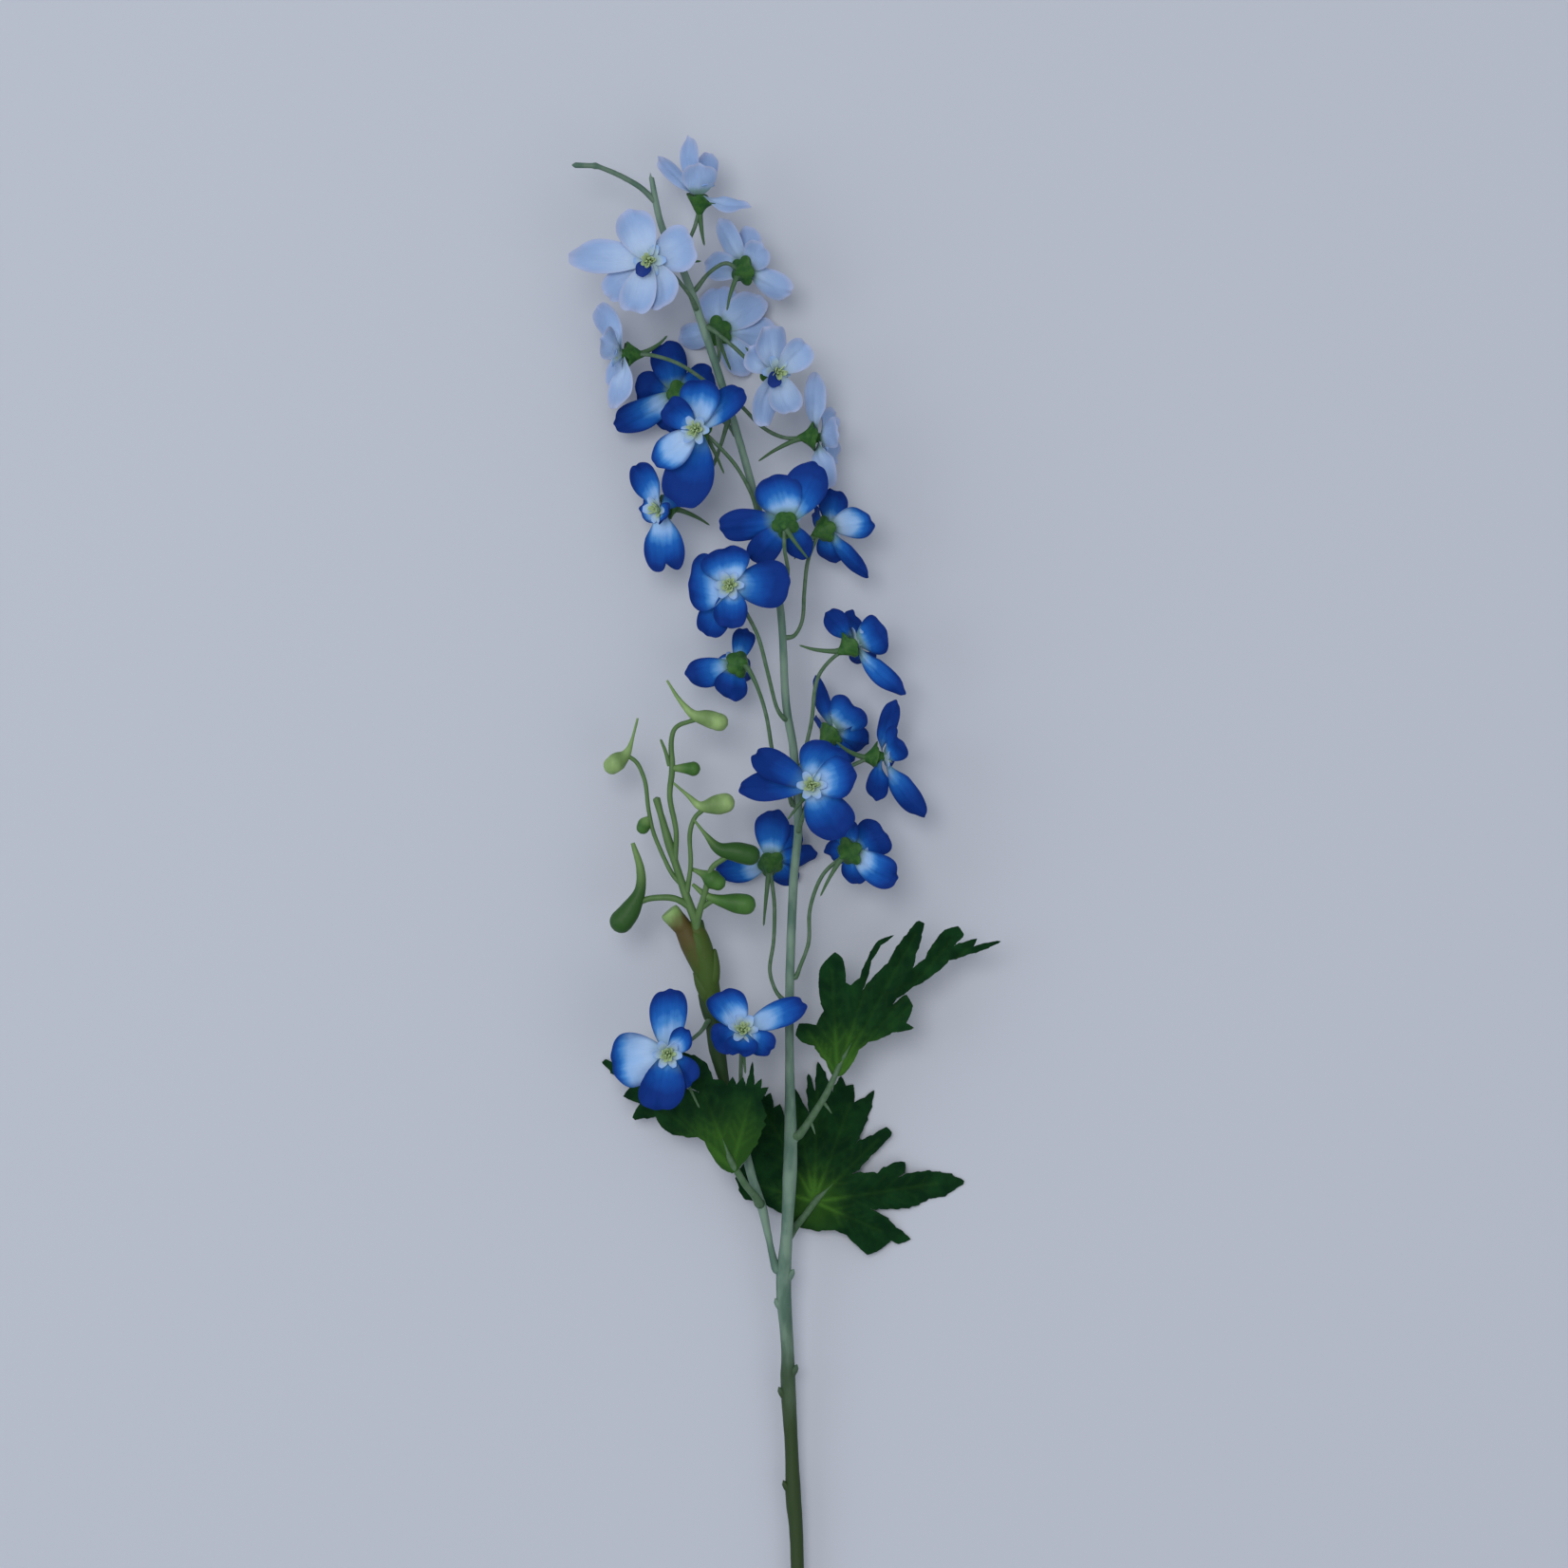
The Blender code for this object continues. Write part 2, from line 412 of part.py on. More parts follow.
    dict(
        name="floret_21", tone="dark", carrier="branch", root=(-30.8, -1.0),
        centre=(-49.6, -14.4, 44.0), facing=(-0.1, -0.1, 0.98), spur=(12.8, -23.0, -8.0),
        stalk=[(-36.4, -6.0, 31.4), (-43.0, -11.0, 35.0)],
        petals=[(-1.0, 27.2, 3.0, 16), (-24.0, -3.8, 0.0, 23), (-3.0, -24.0, 1.0, 19),
                (10.0, -13.0, 2.0, 14), (9.0, 9.0, 5.0, 10)],
    ),
    dict(
        name="floret_22", tone="dark", carrier="branch", root=(-21.6, -46.0),
        centre=(-18.4, -5.2, 41.0), facing=(0.05, 0.3, 0.9), spur=(1.0, -18.0, -8.0),
        stalk=[(-19.0, -38.0, 21.4), (-19.4, -27.0, 26.0), (-19.2, -15.0, 32.0)],
        petals=[(-9.6, 17.2, -2.0, 16), (-12.6, -5.0, 2.0, 14), (25.0, 14.0, -2.0, 12),
                (-1.0, -10.0, 11.0, 14), (12.0, -8.0, 5.0, 11)],
    ),
]


def clear_scene():
    for item in list(bpy.data.objects):
        bpy.data.objects.remove(item)


def make_material(name, colour, roughness):
    material = bpy.data.materials.new(name)
    material.use_nodes = True
    shader = material.node_tree.nodes["Principled BSDF"]
    shader.inputs["Base Color"].default_value = (*colour, 1.0)
    shader.inputs["Roughness"].default_value = roughness
    shader.inputs["Metallic"].default_value = 0.0
    material.diffuse_color = (*colour, 1.0)
    return material


def smooth_line(points, steps):
    # Catmull-Rom curve through hand-placed points, whatever their number of values
    points = [Vector(point) for point in points]
    ends = [2 * points[0] - points[1], *points, 2 * points[-1] - points[-2]]
    line = []
    for index in range(1, len(ends) - 2):
        before, start, stop, after = ends[index - 1:index + 3]
        for step in range(steps):
            t = step / steps
            line.append(
                0.5 * (2 * start + (stop - before) * t
                       + (2 * before - 5 * start + 4 * stop - after) * t * t
                       + (3 * start - before - 3 * stop + after) * t * t * t)
            )
    line.append(points[-1])
    return line


def add_tube(mesh, line, sides):
    # Closed tube along points that hold x, y, z and the radius
    centres = [Vector(point[:3]) for point in line]
    radii = [point[3] for point in line]
    spans = [(stop - start).normalized() for start, stop in zip(centres, centres[1:])]
    tangents = [spans[0]]
    tangents += [(before + after).normalized() for before, after in zip(spans, spans[1:])]
    tangents.append(spans[-1])
    across = tangents[0].orthogonal().normalized()
    rings = []
    for centre, tangent, radius in zip(centres, tangents, radii):
        across = (across - tangent * across.dot(tangent)).normalized()
        beside = tangent.cross(across)
        ring = []
        for side in range(sides):
            angle = 2 * math.pi * side / sides
            spoke = across * math.cos(angle) + beside * math.sin(angle)
            ring.append(mesh.verts.new(centre + spoke * radius))
        rings.append(ring)
    join_rings(mesh, rings)


def join_rings(mesh, rings):
    count = len(rings[0])
    for lower, upper in zip(rings, rings[1:]):
        for index in range(count):
            after = (index + 1) % count
            mesh.faces.new((lower[index], lower[after], upper[after], upper[index]))
    mesh.faces.new(tuple(reversed(rings[0])))
    mesh.faces.new(rings[-1])


def add_slab(mesh, top, bottom, triangles, rim):
    # Blade with both faces triangulated alike and a wall round its rim
    upper = [mesh.verts.new(point) for point in top]
    lower = [mesh.verts.new(point) for point in bottom]
    for first, second, third in triangles:
        mesh.faces.new((upper[first], upper[second], upper[third]))
        mesh.faces.new((lower[third], lower[second], lower[first]))
    for here, after in zip(rim, rim[1:] + rim[:1]):
        mesh.faces.new((upper[here], lower[here], lower[after]))
        mesh.faces.new((upper[here], lower[after], upper[after]))


def piece(shape):
    # Loose object from a function that fills a bmesh in millimetres
    mesh = bmesh.new()
    shape(mesh)
    bmesh.ops.recalc_face_normals(mesh, faces=mesh.faces[:])
    data = bpy.data.meshes.new("piece")
    mesh.to_mesh(data)
    mesh.free()
    return bpy.data.objects.new("piece", data)


def fuse(name, pieces, material, frame=None):
    # One closed body from overlapping pieces, set in its place under the spike
    base, others = pieces[0], pieces[1:]
    bpy.context.scene.collection.objects.link(base)
    group = bpy.data.collections.new("others")
    bpy.context.scene.collection.children.link(group)
    for other in others:
        group.objects.link(other)
    if others:
        union = base.modifiers.new("union", "BOOLEAN")
        union.operation = "UNION"
        union.operand_type = "COLLECTION"
        union.collection = group
        union.solver = "EXACT"
    graph = bpy.context.evaluated_depsgraph_get()
    data = bpy.data.meshes.new_from_object(base.evaluated_get(graph))
    for item in pieces:
        bpy.data.objects.remove(item)
    bpy.data.collections.remove(group)
    data.name = name
    data.transform(Matrix.Scale(MM, 4))
    data.materials.clear()
    data.materials.append(material)
    body = bpy.data.objects.new(name, data)
    bpy.context.scene.collection.objects.link(body)
    body.parent = SPIKE
    if frame is not None:
        body.matrix_local = frame
    return body


def nearest_on(line, place):
    # Point, radius and direction of a tube where it passes a place seen from above
    best = None
    for start, stop in zip(line, line[1:]):
        span = (stop - start).to_2d()
        share = (Vector(place) - start.to_2d()).dot(span) / span.length_squared
        point = start.lerp(stop, min(max(share, 0.0), 1.0))
        distance = (point.to_2d() - Vector(place)).length
        if best is None or distance < best[0]:
            best = (distance, point, (stop - start).to_3d().normalized())
    return best[1].to_3d(), best[1][3], best[2]


def rooted_line(carrier, root, points):
    # Smooth line with radii that starts square to its carrier, just clear of its surface
    centre, radius, direction = nearest_on(carrier, root)
    towards = Vector(points[0][:3]) - centre
    away = (towards - direction * towards.dot(direction)).normalized()
    seat = centre + away * (radius + SEAT_GAP)
    first = Vector((*(seat + away * ROOT_RISE), points[0][3]))
    return [Vector((*seat, points[0][3])), *smooth_line([first, *points], 1)]


def petal_width(u):
    # Share of the full width: a narrow claw, widest past the middle, then a round tip
    if u < PETAL_WIDEST:
        return PETAL_CLAW + (1 - PETAL_CLAW) * math.sin(0.5 * math.pi * u / PETAL_WIDEST) ** 0.9
    return math.sqrt(1 - ((u - PETAL_WIDEST) / (1 - PETAL_WIDEST)) ** 2)


def petal_front(along, u, turn):
    # Way that a petal's face looks: off the calyx, and past its claw partly to the viewer
    viewer, show = turn
    side = Vector((0.0, 0.0, 1.0)).cross(along).normalized()
    front = along.cross(side)
    viewer = viewer - along * viewer.dot(along)
    if viewer.dot(front) < 0:
        viewer.negate()
    share = show * min(u / PETAL_TURNED_BY, 1.0)
    return (front * (1 - share) + viewer * share).normalized()


def petal_point(reach, width, u, v, turn):
    # Point of a petal's middle surface, u from root to tip and v across
    out = Vector((reach.x, reach.y, 0.0)).normalized()
    root = out * PETAL_ROOT
    along = (reach - root).normalized()
    length = (reach - root).length
    front = petal_front(along, u, turn)
    side = front.cross(along)
    half = 0.5 * width * petal_width(u)
    rise = PETAL_CUP * half * v * v - PETAL_BOWL * length * math.sin(math.pi * u)
    return root + along * (length * u) + side * (half * v) + front * rise


def petal_normal(reach, width, u, v, turn):
    step = 0.02
    u = min(max(u, step), 0.9)
    places = [(u + step, v), (u - step, v), (u, v + step), (u, v - step)]
    after, before, right, left = [petal_point(reach, width, *place, turn) for place in places]
    return (after - before).cross(right - left).normalized()


def laid_on_ground(frame, middle, half):
    # Both faces of a blade, kept above the surface that the spike lies on
    over, under = frame @ (middle + half), frame @ (middle - half)
    lower, upper = (under, over) if under.z < over.z else (over, under)
    lower.z = max(lower.z, 0.0)
    upper.z = max(upper.z, PETAL_THICKNESS)
    return frame.inverted() @ over, frame.inverted() @ under


def zip_rows(here, there):
    # Triangles between two rows of corners that needn't hold the same number
    triangles = []
    first, second = 0, 0
    while first < len(here) - 1 or second < len(there) - 1:
        if (second + 1) * (len(here) - 1) <= (first + 1) * (len(there) - 1):
            triangles.append((here[first], there[second], there[second + 1]))
            second += 1
        else:
            triangles.append((here[first], there[second], here[first + 1]))
            first += 1
    return triangles


def add_petal(mesh, reach, width, frame, turn):
    # Thin blade in rows of corners from the ring to its round tip
    top, bottom, rows = [], [], []
    for u, places in PETAL_ROWS:
        rows.append(list(range(len(top), len(top) + len(places))))
        for v in places:
            half = petal_normal(reach, width, u, v, turn) * (0.5 * PETAL_THICKNESS)
            over, under = laid_on_ground(frame, petal_point(reach, width, u, v, turn), half)
            top.append(over)
            bottom.append(under)
    triangles = []
    for here, there in zip(rows, rows[1:]):
        triangles += zip_rows(here, there)
    rim = [row[0] for row in rows] + [row[-1] for row in reversed(rows)]
    add_slab(mesh, top, bottom, triangles, rim)


def add_ring(mesh):
    # Six-sided washer that the petals grow from
    rings = []
    corners = [(RING_INNER, -1), (RING_OUTER, -1), (RING_OUTER, 1), (RING_INNER, 1)]
    for side in range(RING_SIDES):
        angle = 2 * math.pi * side / RING_SIDES
        ring = []
        for radius, way in corners:
            ring.append(mesh.verts.new((
                radius * math.cos(angle),
                radius * math.sin(angle),
                way * RING_HALF_THICKNESS,
            )))
        rings.append(ring)
    for here, after in zip(rings, rings[1:] + rings[:1]):
        for index in range(len(corners)):
            beside = (index + 1) % len(corners)
            mesh.faces.new((here[index], after[index], after[beside], here[beside]))


def add_calyx(mesh):
    # Cup with five lobes, the pin through the petal ring and the eye in front of it
    rings = []
    for height, lobe, valley in CALYX_PROFILE:
        ring = []
        for index in range(2 * CALYX_LOBES):
            angle = math.pi * index / CALYX_LOBES
            radius = valley if index % 2 else lobe
            ring.append(mesh.verts.new((
                radius * math.cos(angle),
                radius * math.sin(angle),
                height,
            )))
        rings.append(ring)
    join_rings(mesh, rings)


def floret_frame(centre, facing):
    # Turns a floret's own axis, local Z, the way that it faces
    turn = Vector((0.0, 0.0, 1.0)).rotation_difference(Vector(facing).normalized())
    return Matrix.Translation(Vector(centre)) @ turn.to_matrix().to_4x4()


def in_metres(frame):
    placed = frame.copy()
    placed.translation = frame.translation * MM
    return placed


def make_petals(floret, frame):
    back = frame.to_3x3().inverted()
    turn = (back @ Vector((0.0, 0.0, 1.0)), floret.get("show", 0.0))
    pieces = [piece(add_ring)]
    for x, y, z, width in floret["petals"]:
        reach = back @ Vector((x, y, z))
        pieces.append(piece(lambda mesh, r=reach, w=width: add_petal(mesh, r, w, frame, turn)))
    tone = MATERIALS["petal_" + floret["tone"]]
    return fuse(floret["name"] + "_petals", pieces, tone, in_metres(frame))


def make_stalk(floret, frame, carrier):
    # Stalk, calyx, spur and eye of one floret
    cup = frame @ Vector((0.0, 0.0, STALK_END))
    points = [(*point, STALK_RADIUS) for point in [*floret["stalk"], cup]]
    home = frame.inverted()
    stalk = [
        Vector((*(home @ point.to_3d()), STALK_RADIUS))
        for point in rooted_line(carrier, floret["root"], points)
    ]
    tip = frame.to_3x3().inverted() @ Vector(floret["spur"])
    bend = Vector((0.0, 0.0, SPUR_BEND)) + SPUR_LEAN * tip
    half_way = bend.lerp(tip, 0.5) - Vector((0.0, 0.0, SPUR_SAG))
    spur = [Vector((0.0, 0.0, SPUR_START)), bend, half_way, tip]
    spur = [Vector((*point, radius)) for point, radius in zip(spur, SPUR_RADII)]
    pieces = [
        piece(add_calyx),
        piece(lambda mesh: add_tube(mesh, stalk, TUBE_SIDES)),
        piece(lambda mesh: add_tube(mesh, spur, TUBE_SIDES)),
    ]
    return fuse(floret["name"] + "_stalk", pieces, MATERIALS["green"], in_metres(frame))


def make_floret(floret):
    frame = floret_frame(floret["centre"], floret["facing"])
    make_stalk(floret, frame, CARRIERS[floret["carrier"]])
    make_petals(floret, frame)


def leaf_height(leaf, x, y):
    # Height of the blade's middle surface above the ground
    base = Vector(leaf["base"])
    offset = Vector((x, y)) - base
    share = offset.length / leaf_reach(leaf)
    turn = math.atan2(offset.y, offset.x)
    tilt = leaf["slope"][0] * offset.x + leaf["slope"][1] * offset.y
    wave = leaf["ripple"] * math.sin(leaf["ripple_count"] * turn) * share
    away = min(rib_distance(leaf, x, y) / CREASE_WIDTH, 1.0)
    crease = leaf["fold"] * away * min(3 * share, 1.0)
    height = leaf["height"] + tilt + wave + crease - leaf["droop"] * share * share
    return max(height, 0.5 * LEAF_THICKNESS)


def leaf_reach(leaf):
    base = Vector(leaf["base"])
    return max((Vector(point) - base).length for point in leaf["outline"])


def rib_distance(leaf, x, y):
    base, place = Vector(leaf["base"]), Vector((x, y))
    distances = []
    for rib in leaf["ribs"]:
        span = Vector(rib) - base
        share = min(max((place - base).dot(span) / span.length_squared, 0.0), 1.0)
        distances.append((place - base - span * share).length)
    return min(distances)


def add_leaf_blade(mesh, leaf):
    outline = [Vector(point) for point in leaf["outline"]]
    inner = []
    for rib in leaf["ribs"]:
        for share in RIB_PLACES:
            inner.append(Vector(leaf["base"]).lerp(Vector(rib), share))
    corners = list(range(len(outline)))
    points, _, faces, _, _, _ = delaunay_2d_cdt(outline + inner, [], [corners], 1, 1e-4)
    middle = [Vector((x, y, leaf_height(leaf, x, y))) for x, y in points]
    lift = Vector((0.0, 0.0, 0.5 * LEAF_THICKNESS))
    top = [point + lift for point in middle]
    bottom = [point - lift for point in middle]
    add_slab(mesh, top, bottom, faces, rim_of(faces))


def rim_of(faces):
    # Corners round the outside of a sheet of triangles, in order
    ahead = {}
    for face in faces:
        for here, after in zip(face, list(face[1:]) + [face[0]]):
            ahead[(here, after)] = True
    after = {here: there for here, there in ahead if (there, here) not in ahead}
    rim = [next(iter(after))]
    while after[rim[-1]] != rim[0]:
        rim.append(after[rim[-1]])
    return rim


def make_leaf(leaf):
    points = [(*point, radius) for point, radius in zip(leaf["stalk"], LEAF_STALK_RADII)]
    stalk = rooted_line(CARRIERS[leaf["carrier"]], leaf["root"], points)
    pieces = [
        piece(lambda mesh: add_leaf_blade(mesh, leaf)),
        piece(lambda mesh: add_tube(mesh, stalk, TUBE_SIDES)),
    ]
    return fuse(leaf["name"], pieces, MATERIALS["leaf"])


def make_main_stem():
    pieces = [
        piece(lambda mesh: add_tube(mesh, CARRIERS["stem"], STEM_SIDES)),
        piece(lambda mesh: add_tube(mesh, smooth_line(TIP_SHOOT, 2), TUBE_SIDES)),
    ]
    return fuse("main_stem", pieces, MATERIALS["stem"])


def make_side_branch():
    line = rooted_line(CARRIERS["stem"], BRANCH_ROOT, BRANCH_LINE)
    pieces = [piece(lambda mesh: add_tube(mesh, line, BRANCH_SIDES))]
    for prong in SHEATH_PRONGS:
        shape = smooth_line(prong, 2)
        pieces.append(piece(lambda mesh, line=shape: add_tube(mesh, line, SHEATH_SIDES)))
    return fuse("side_branch", pieces, MATERIALS["stem"])


def make_bud_sprig():
    pieces = []
    for stalk in SPRIG_STALKS:
        shape = smooth_line(stalk, 1)
        pieces.append(piece(lambda mesh, line=shape: add_tube(mesh, line, TUBE_SIDES)))
    for bud in SPRIG_BUDS:
        shape = smooth_line(bud, 1)
        pieces.append(piece(lambda mesh, line=shape: add_tube(mesh, line, BUD_SIDES)))
    return fuse("bud_sprig", pieces, MATERIALS["bud"])


clear_scene()
MATERIALS = {
    "stem": make_material("stem_green", (0.09, 0.17, 0.12), 0.5),
    "green": make_material("calyx_green", (0.06, 0.16, 0.05), 0.5),
    "bud": make_material("bud_green", (0.14, 0.30, 0.06), 0.5),
    "leaf": make_material("leaf_green", (0.01, 0.05, 0.012), 0.6),
    "petal_pale": make_material("petal_pale_blue", (0.25, 0.38, 0.68), 0.7),
    "petal_dark": make_material("petal_deep_blue", (0.01, 0.05, 0.36), 0.7),
}
CARRIERS = {
    "stem": smooth_line(STEM_LINE, 1),
    "branch": smooth_line(BRANCH_LINE, 1),
}
SPIKE = bpy.data.objects.new("delphinium_spike", None)
bpy.context.scene.collection.objects.link(SPIKE)

make_main_stem()
make_side_branch()
make_bud_sprig()
for leaf_values in LEAVES:
    make_leaf(leaf_values)
for floret_values in FLORETS:
    make_floret(floret_values)
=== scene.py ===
import math

import bpy
import numpy as np
from mathutils import Matrix, Vector
from mathutils.geometry import delaunay_2d_cdt


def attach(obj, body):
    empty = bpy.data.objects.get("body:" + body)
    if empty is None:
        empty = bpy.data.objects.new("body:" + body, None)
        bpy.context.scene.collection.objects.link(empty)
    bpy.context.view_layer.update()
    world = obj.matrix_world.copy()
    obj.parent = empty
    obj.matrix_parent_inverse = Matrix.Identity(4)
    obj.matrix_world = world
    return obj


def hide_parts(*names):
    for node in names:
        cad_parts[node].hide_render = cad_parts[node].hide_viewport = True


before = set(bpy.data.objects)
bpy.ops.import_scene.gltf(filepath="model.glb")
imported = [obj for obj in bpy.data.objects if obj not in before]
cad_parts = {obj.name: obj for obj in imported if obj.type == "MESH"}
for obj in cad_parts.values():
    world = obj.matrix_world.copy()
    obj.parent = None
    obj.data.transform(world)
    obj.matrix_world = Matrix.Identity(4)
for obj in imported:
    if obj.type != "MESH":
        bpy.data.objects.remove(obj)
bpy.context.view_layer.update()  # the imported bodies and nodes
mm = 0.001  # the tables are in millimetres, the scene in metres

bpy.context.scene.view_settings.view_transform = "Standard"


# Node trees: a wire is a socket that can stand in Python arithmetic

class Wire:
    def __init__(self, bench, socket):
        self.bench = bench
        self.socket = socket

    def maths(self, operation, *values):
        return self.bench.add("ShaderNodeMath", {"operation": operation}, dict(enumerate(values)))

    def __add__(self, other):
        return self.maths("ADD", self, other)

    __radd__ = __add__

    def __sub__(self, other):
        return self.maths("SUBTRACT", self, other)

    def __rsub__(self, other):
        return self.maths("SUBTRACT", other, self)

    def __mul__(self, other):
        return self.maths("MULTIPLY", self, other)

    __rmul__ = __mul__

    def __truediv__(self, other):
        return self.maths("DIVIDE", self, other)

    def __rtruediv__(self, other):
        return self.maths("DIVIDE", other, self)


class Bench:
    def __init__(self, tree):
        self.tree = tree

    def add(self, kind, settings=None, inputs=None, output=0):
        # Settings go first, because they decide which sockets a node has
        node = self.tree.nodes.new(kind)
        for name, value in (settings or {}).items():
            if name == "stops":
                self.fillRamp(node.color_ramp, value)
            else:
                setattr(node, name, value)
        for name, value in (inputs or {}).items():
            if isinstance(value, Wire):
                self.tree.links.new(value.socket, node.inputs[name])
            else:
                node.inputs[name].default_value = value
        return Wire(self, node.outputs[output]) if node.outputs else node

    def fillRamp(self, ramp, stops):
        while len(ramp.elements) < len(stops):
            ramp.elements.new(0.5)
        for element, (place, colour) in zip(ramp.elements, stops):
            element.position = place
            element.color = (*colour, 1.0)


class Paint(Bench):
    # A material whose Principled shader takes the finish
    def __init__(self, name, **constants):
        self.material = bpy.data.materials.new(name)
        self.material.use_nodes = True
        super().__init__(self.material.node_tree)
        self.shader = self.tree.nodes["Principled BSDF"]
        for socket, value in constants.items():
            self.shader.inputs[socket.replace("_", " ")].default_value = value

    def feed(self, socket, wire):
        self.tree.links.new(wire.socket, self.shader.inputs[socket])

    def attribute(self, name):
        return self.add("ShaderNodeAttribute", {"attribute_name": name}, output="Fac")

    def cloud(self, scale, detail, stretch=(1.0, 1.0, 1.0)):
        # Noise on the object's own coordinates
        spot = self.add("ShaderNodeTexCoord", output="Object")
        spot = self.add("ShaderNodeMapping", {}, {"Vector": spot, "Scale": stretch})
        values = {"Vector": spot, "Scale": scale, "Detail": detail}
        return self.add("ShaderNodeTexNoise", {}, values)

    def smooth(self, value, low, high):
        values = {"Value": value, "From Min": low, "From Max": high}
        return self.add("ShaderNodeMapRange", {"interpolation_type": "SMOOTHSTEP"}, values)

    def blend(self, share, first, second):
        # Sockets 6 and 7 are the colours of a Mix node, and output 2 its colour
        ends = [end if isinstance(end, Wire) else (*end, 1.0) for end in (first, second)]
        values = {0: share, 6: ends[0], 7: ends[1]}
        return self.add("ShaderNodeMix", {"data_type": "RGBA"}, values, 2)

    def relief(self, height, depth, strength):
        values = {"Height": height, "Distance": depth, "Strength": strength}
        self.feed("Normal", self.add("ShaderNodeBump", {}, values))


# Geometry trees

def newTree(name, inputs):
    tree = bpy.data.node_groups.new(name, "GeometryNodeTree")
    tree.interface.new_socket("Geometry", in_out="INPUT", socket_type="NodeSocketGeometry")
    tree.interface.new_socket("Geometry", in_out="OUTPUT", socket_type="NodeSocketGeometry")
    for label, (kind, value) in inputs.items():
        socket = tree.interface.new_socket(label, in_out="INPUT", socket_type="NodeSocket" + kind)
        if value is not None:
            socket.default_value = value
    bench = Bench(tree)
    entry = bench.add("NodeGroupInput").socket.node
    return bench, {socket.name: Wire(bench, socket) for socket in entry.outputs if socket.name}


def endTree(bench, geometry, material):
    # Every tree ends in real geometry with its material
    real = bench.add("GeometryNodeRealizeInstances", {}, {"Geometry": geometry})
    painted = bench.add("GeometryNodeSetMaterial", {}, {"Geometry": real, "Material": material})
    bench.add("NodeGroupOutput", {}, {"Geometry": painted})
    return bench.tree


def grown(host, tree, values):
    # Plain mesh of what a geometry tree makes of its host
    scene = bpy.context.scene
    scene.collection.objects.link(host)
    modifier = host.modifiers.new(tree.name, "NODES")
    modifier.node_group = tree
    for item in tree.interface.items_tree:
        if item.item_type == "SOCKET" and item.in_out == "INPUT" and item.name in values:
            modifier[item.identifier] = values[item.name]
    graph = bpy.context.evaluated_depsgraph_get()
    data = bpy.data.meshes.new_from_object(host.evaluated_get(graph))
    bpy.data.objects.remove(host)
    return data


# Meshes

def meshOf(name, points, faces, material=None, edges=(), **values):
    # Mesh in metres from points in millimetres, with one float attribute for each named value
    data = bpy.data.meshes.new(name)
    data.from_pydata((np.asarray(points, float) * mm).tolist(), list(edges), faces)
    for label, numbers in values.items():
        layer = data.attributes.new(label, "FLOAT", "POINT")
        layer.data.foreach_set("value", np.broadcast_to(numbers, len(points)).astype(np.float32))
    if material:
        data.materials.append(material)
    data.shade_smooth()
    return data


def joined(name, meshes, sharpness=50.0):
    # One object from several meshes, with the edges of thin blades kept crisp
    parts = [bpy.data.objects.new(name, data) for data in meshes]
    for part in parts:
        bpy.context.scene.collection.objects.link(part)
    if len(parts) > 1:
        with bpy.context.temp_override(active_object=parts[0], selected_editable_objects=parts):
            bpy.ops.object.join()
    parts[0].data.name = name
    parts[0].data.set_sharp_from_angle(angle=math.radians(sharpness))
    return parts[0]


def settle(piece, slot, *nodes):
    # Every piece rides on the one rigid body
    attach(piece, "root")
    if nodes:
        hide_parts(*nodes)


def smoothLine(points, steps):
    # Catmull-Rom curve through points, whatever their number of values
    points = [Vector(point) for point in points]
    ends = [2 * points[0] - points[1], *points, 2 * points[-1] - points[-2]]
    line = []
    for index in range(1, len(ends) - 2):
        before, start, stop, after = ends[index - 1:index + 3]
        for step in range(steps):
            t = step / steps
            line.append(
                0.5 * (2 * start + (stop - before) * t
                       + (2 * before - 5 * start + 4 * stop - after) * t * t
                       + (3 * start - before - 3 * stop + after) * t * t * t)
            )
    line.append(points[-1])
    return line


def roundEnd(line):
    # Two more points past the end, so that the tube closes like a fingertip
    line = [Vector(point) for point in line]
    last, before = line[-1], line[-2]
    away = (last.to_3d() - before.to_3d()).normalized()
    for ahead, share in ((0.45, 0.72), (0.62, 0.2)):
        line.append(Vector((*(last.to_3d() + away * ahead * last[3]), share * last[3])))
    return line


def nearestOn(line, place):
    # Point, radius and direction of a tube where it passes a place seen from above
    best = None
    for start, stop in zip(line, line[1:]):
        span = (stop - start).to_2d()
        share = (Vector(place) - start.to_2d()).dot(span) / span.length_squared
        point = start.lerp(stop, min(max(share, 0.0), 1.0))
        distance = (point.to_2d() - Vector(place)).length
        if best is None or distance < best[0]:
            best = (distance, point, (stop - start).to_3d().normalized())
    return best[1].to_3d(), best[1][3], best[2]


def rootedLine(carrier, root, points, flare):
    # Line with radii that grows out of its carrier, thicker at the joint by flare
    centre, radius, direction = nearestOn(carrier, root)
    towards = Vector(points[0][:3]) - centre
    away = (towards - direction * towards.dot(direction)).normalized()
    thick = points[0][3]
    sunk = Vector((*(centre + away * (0.4 * radius)), thick * flare))
    collar = Vector((*(centre + away * (radius + 0.5)), thick * flare))
    return [sunk, collar, *[Vector(point) for point in points]]


# Tubes along lines, with a fine uneven skin

tubeLook = dict(sides=14, unevenness=0.10, grain=220.0, seed=4.0)


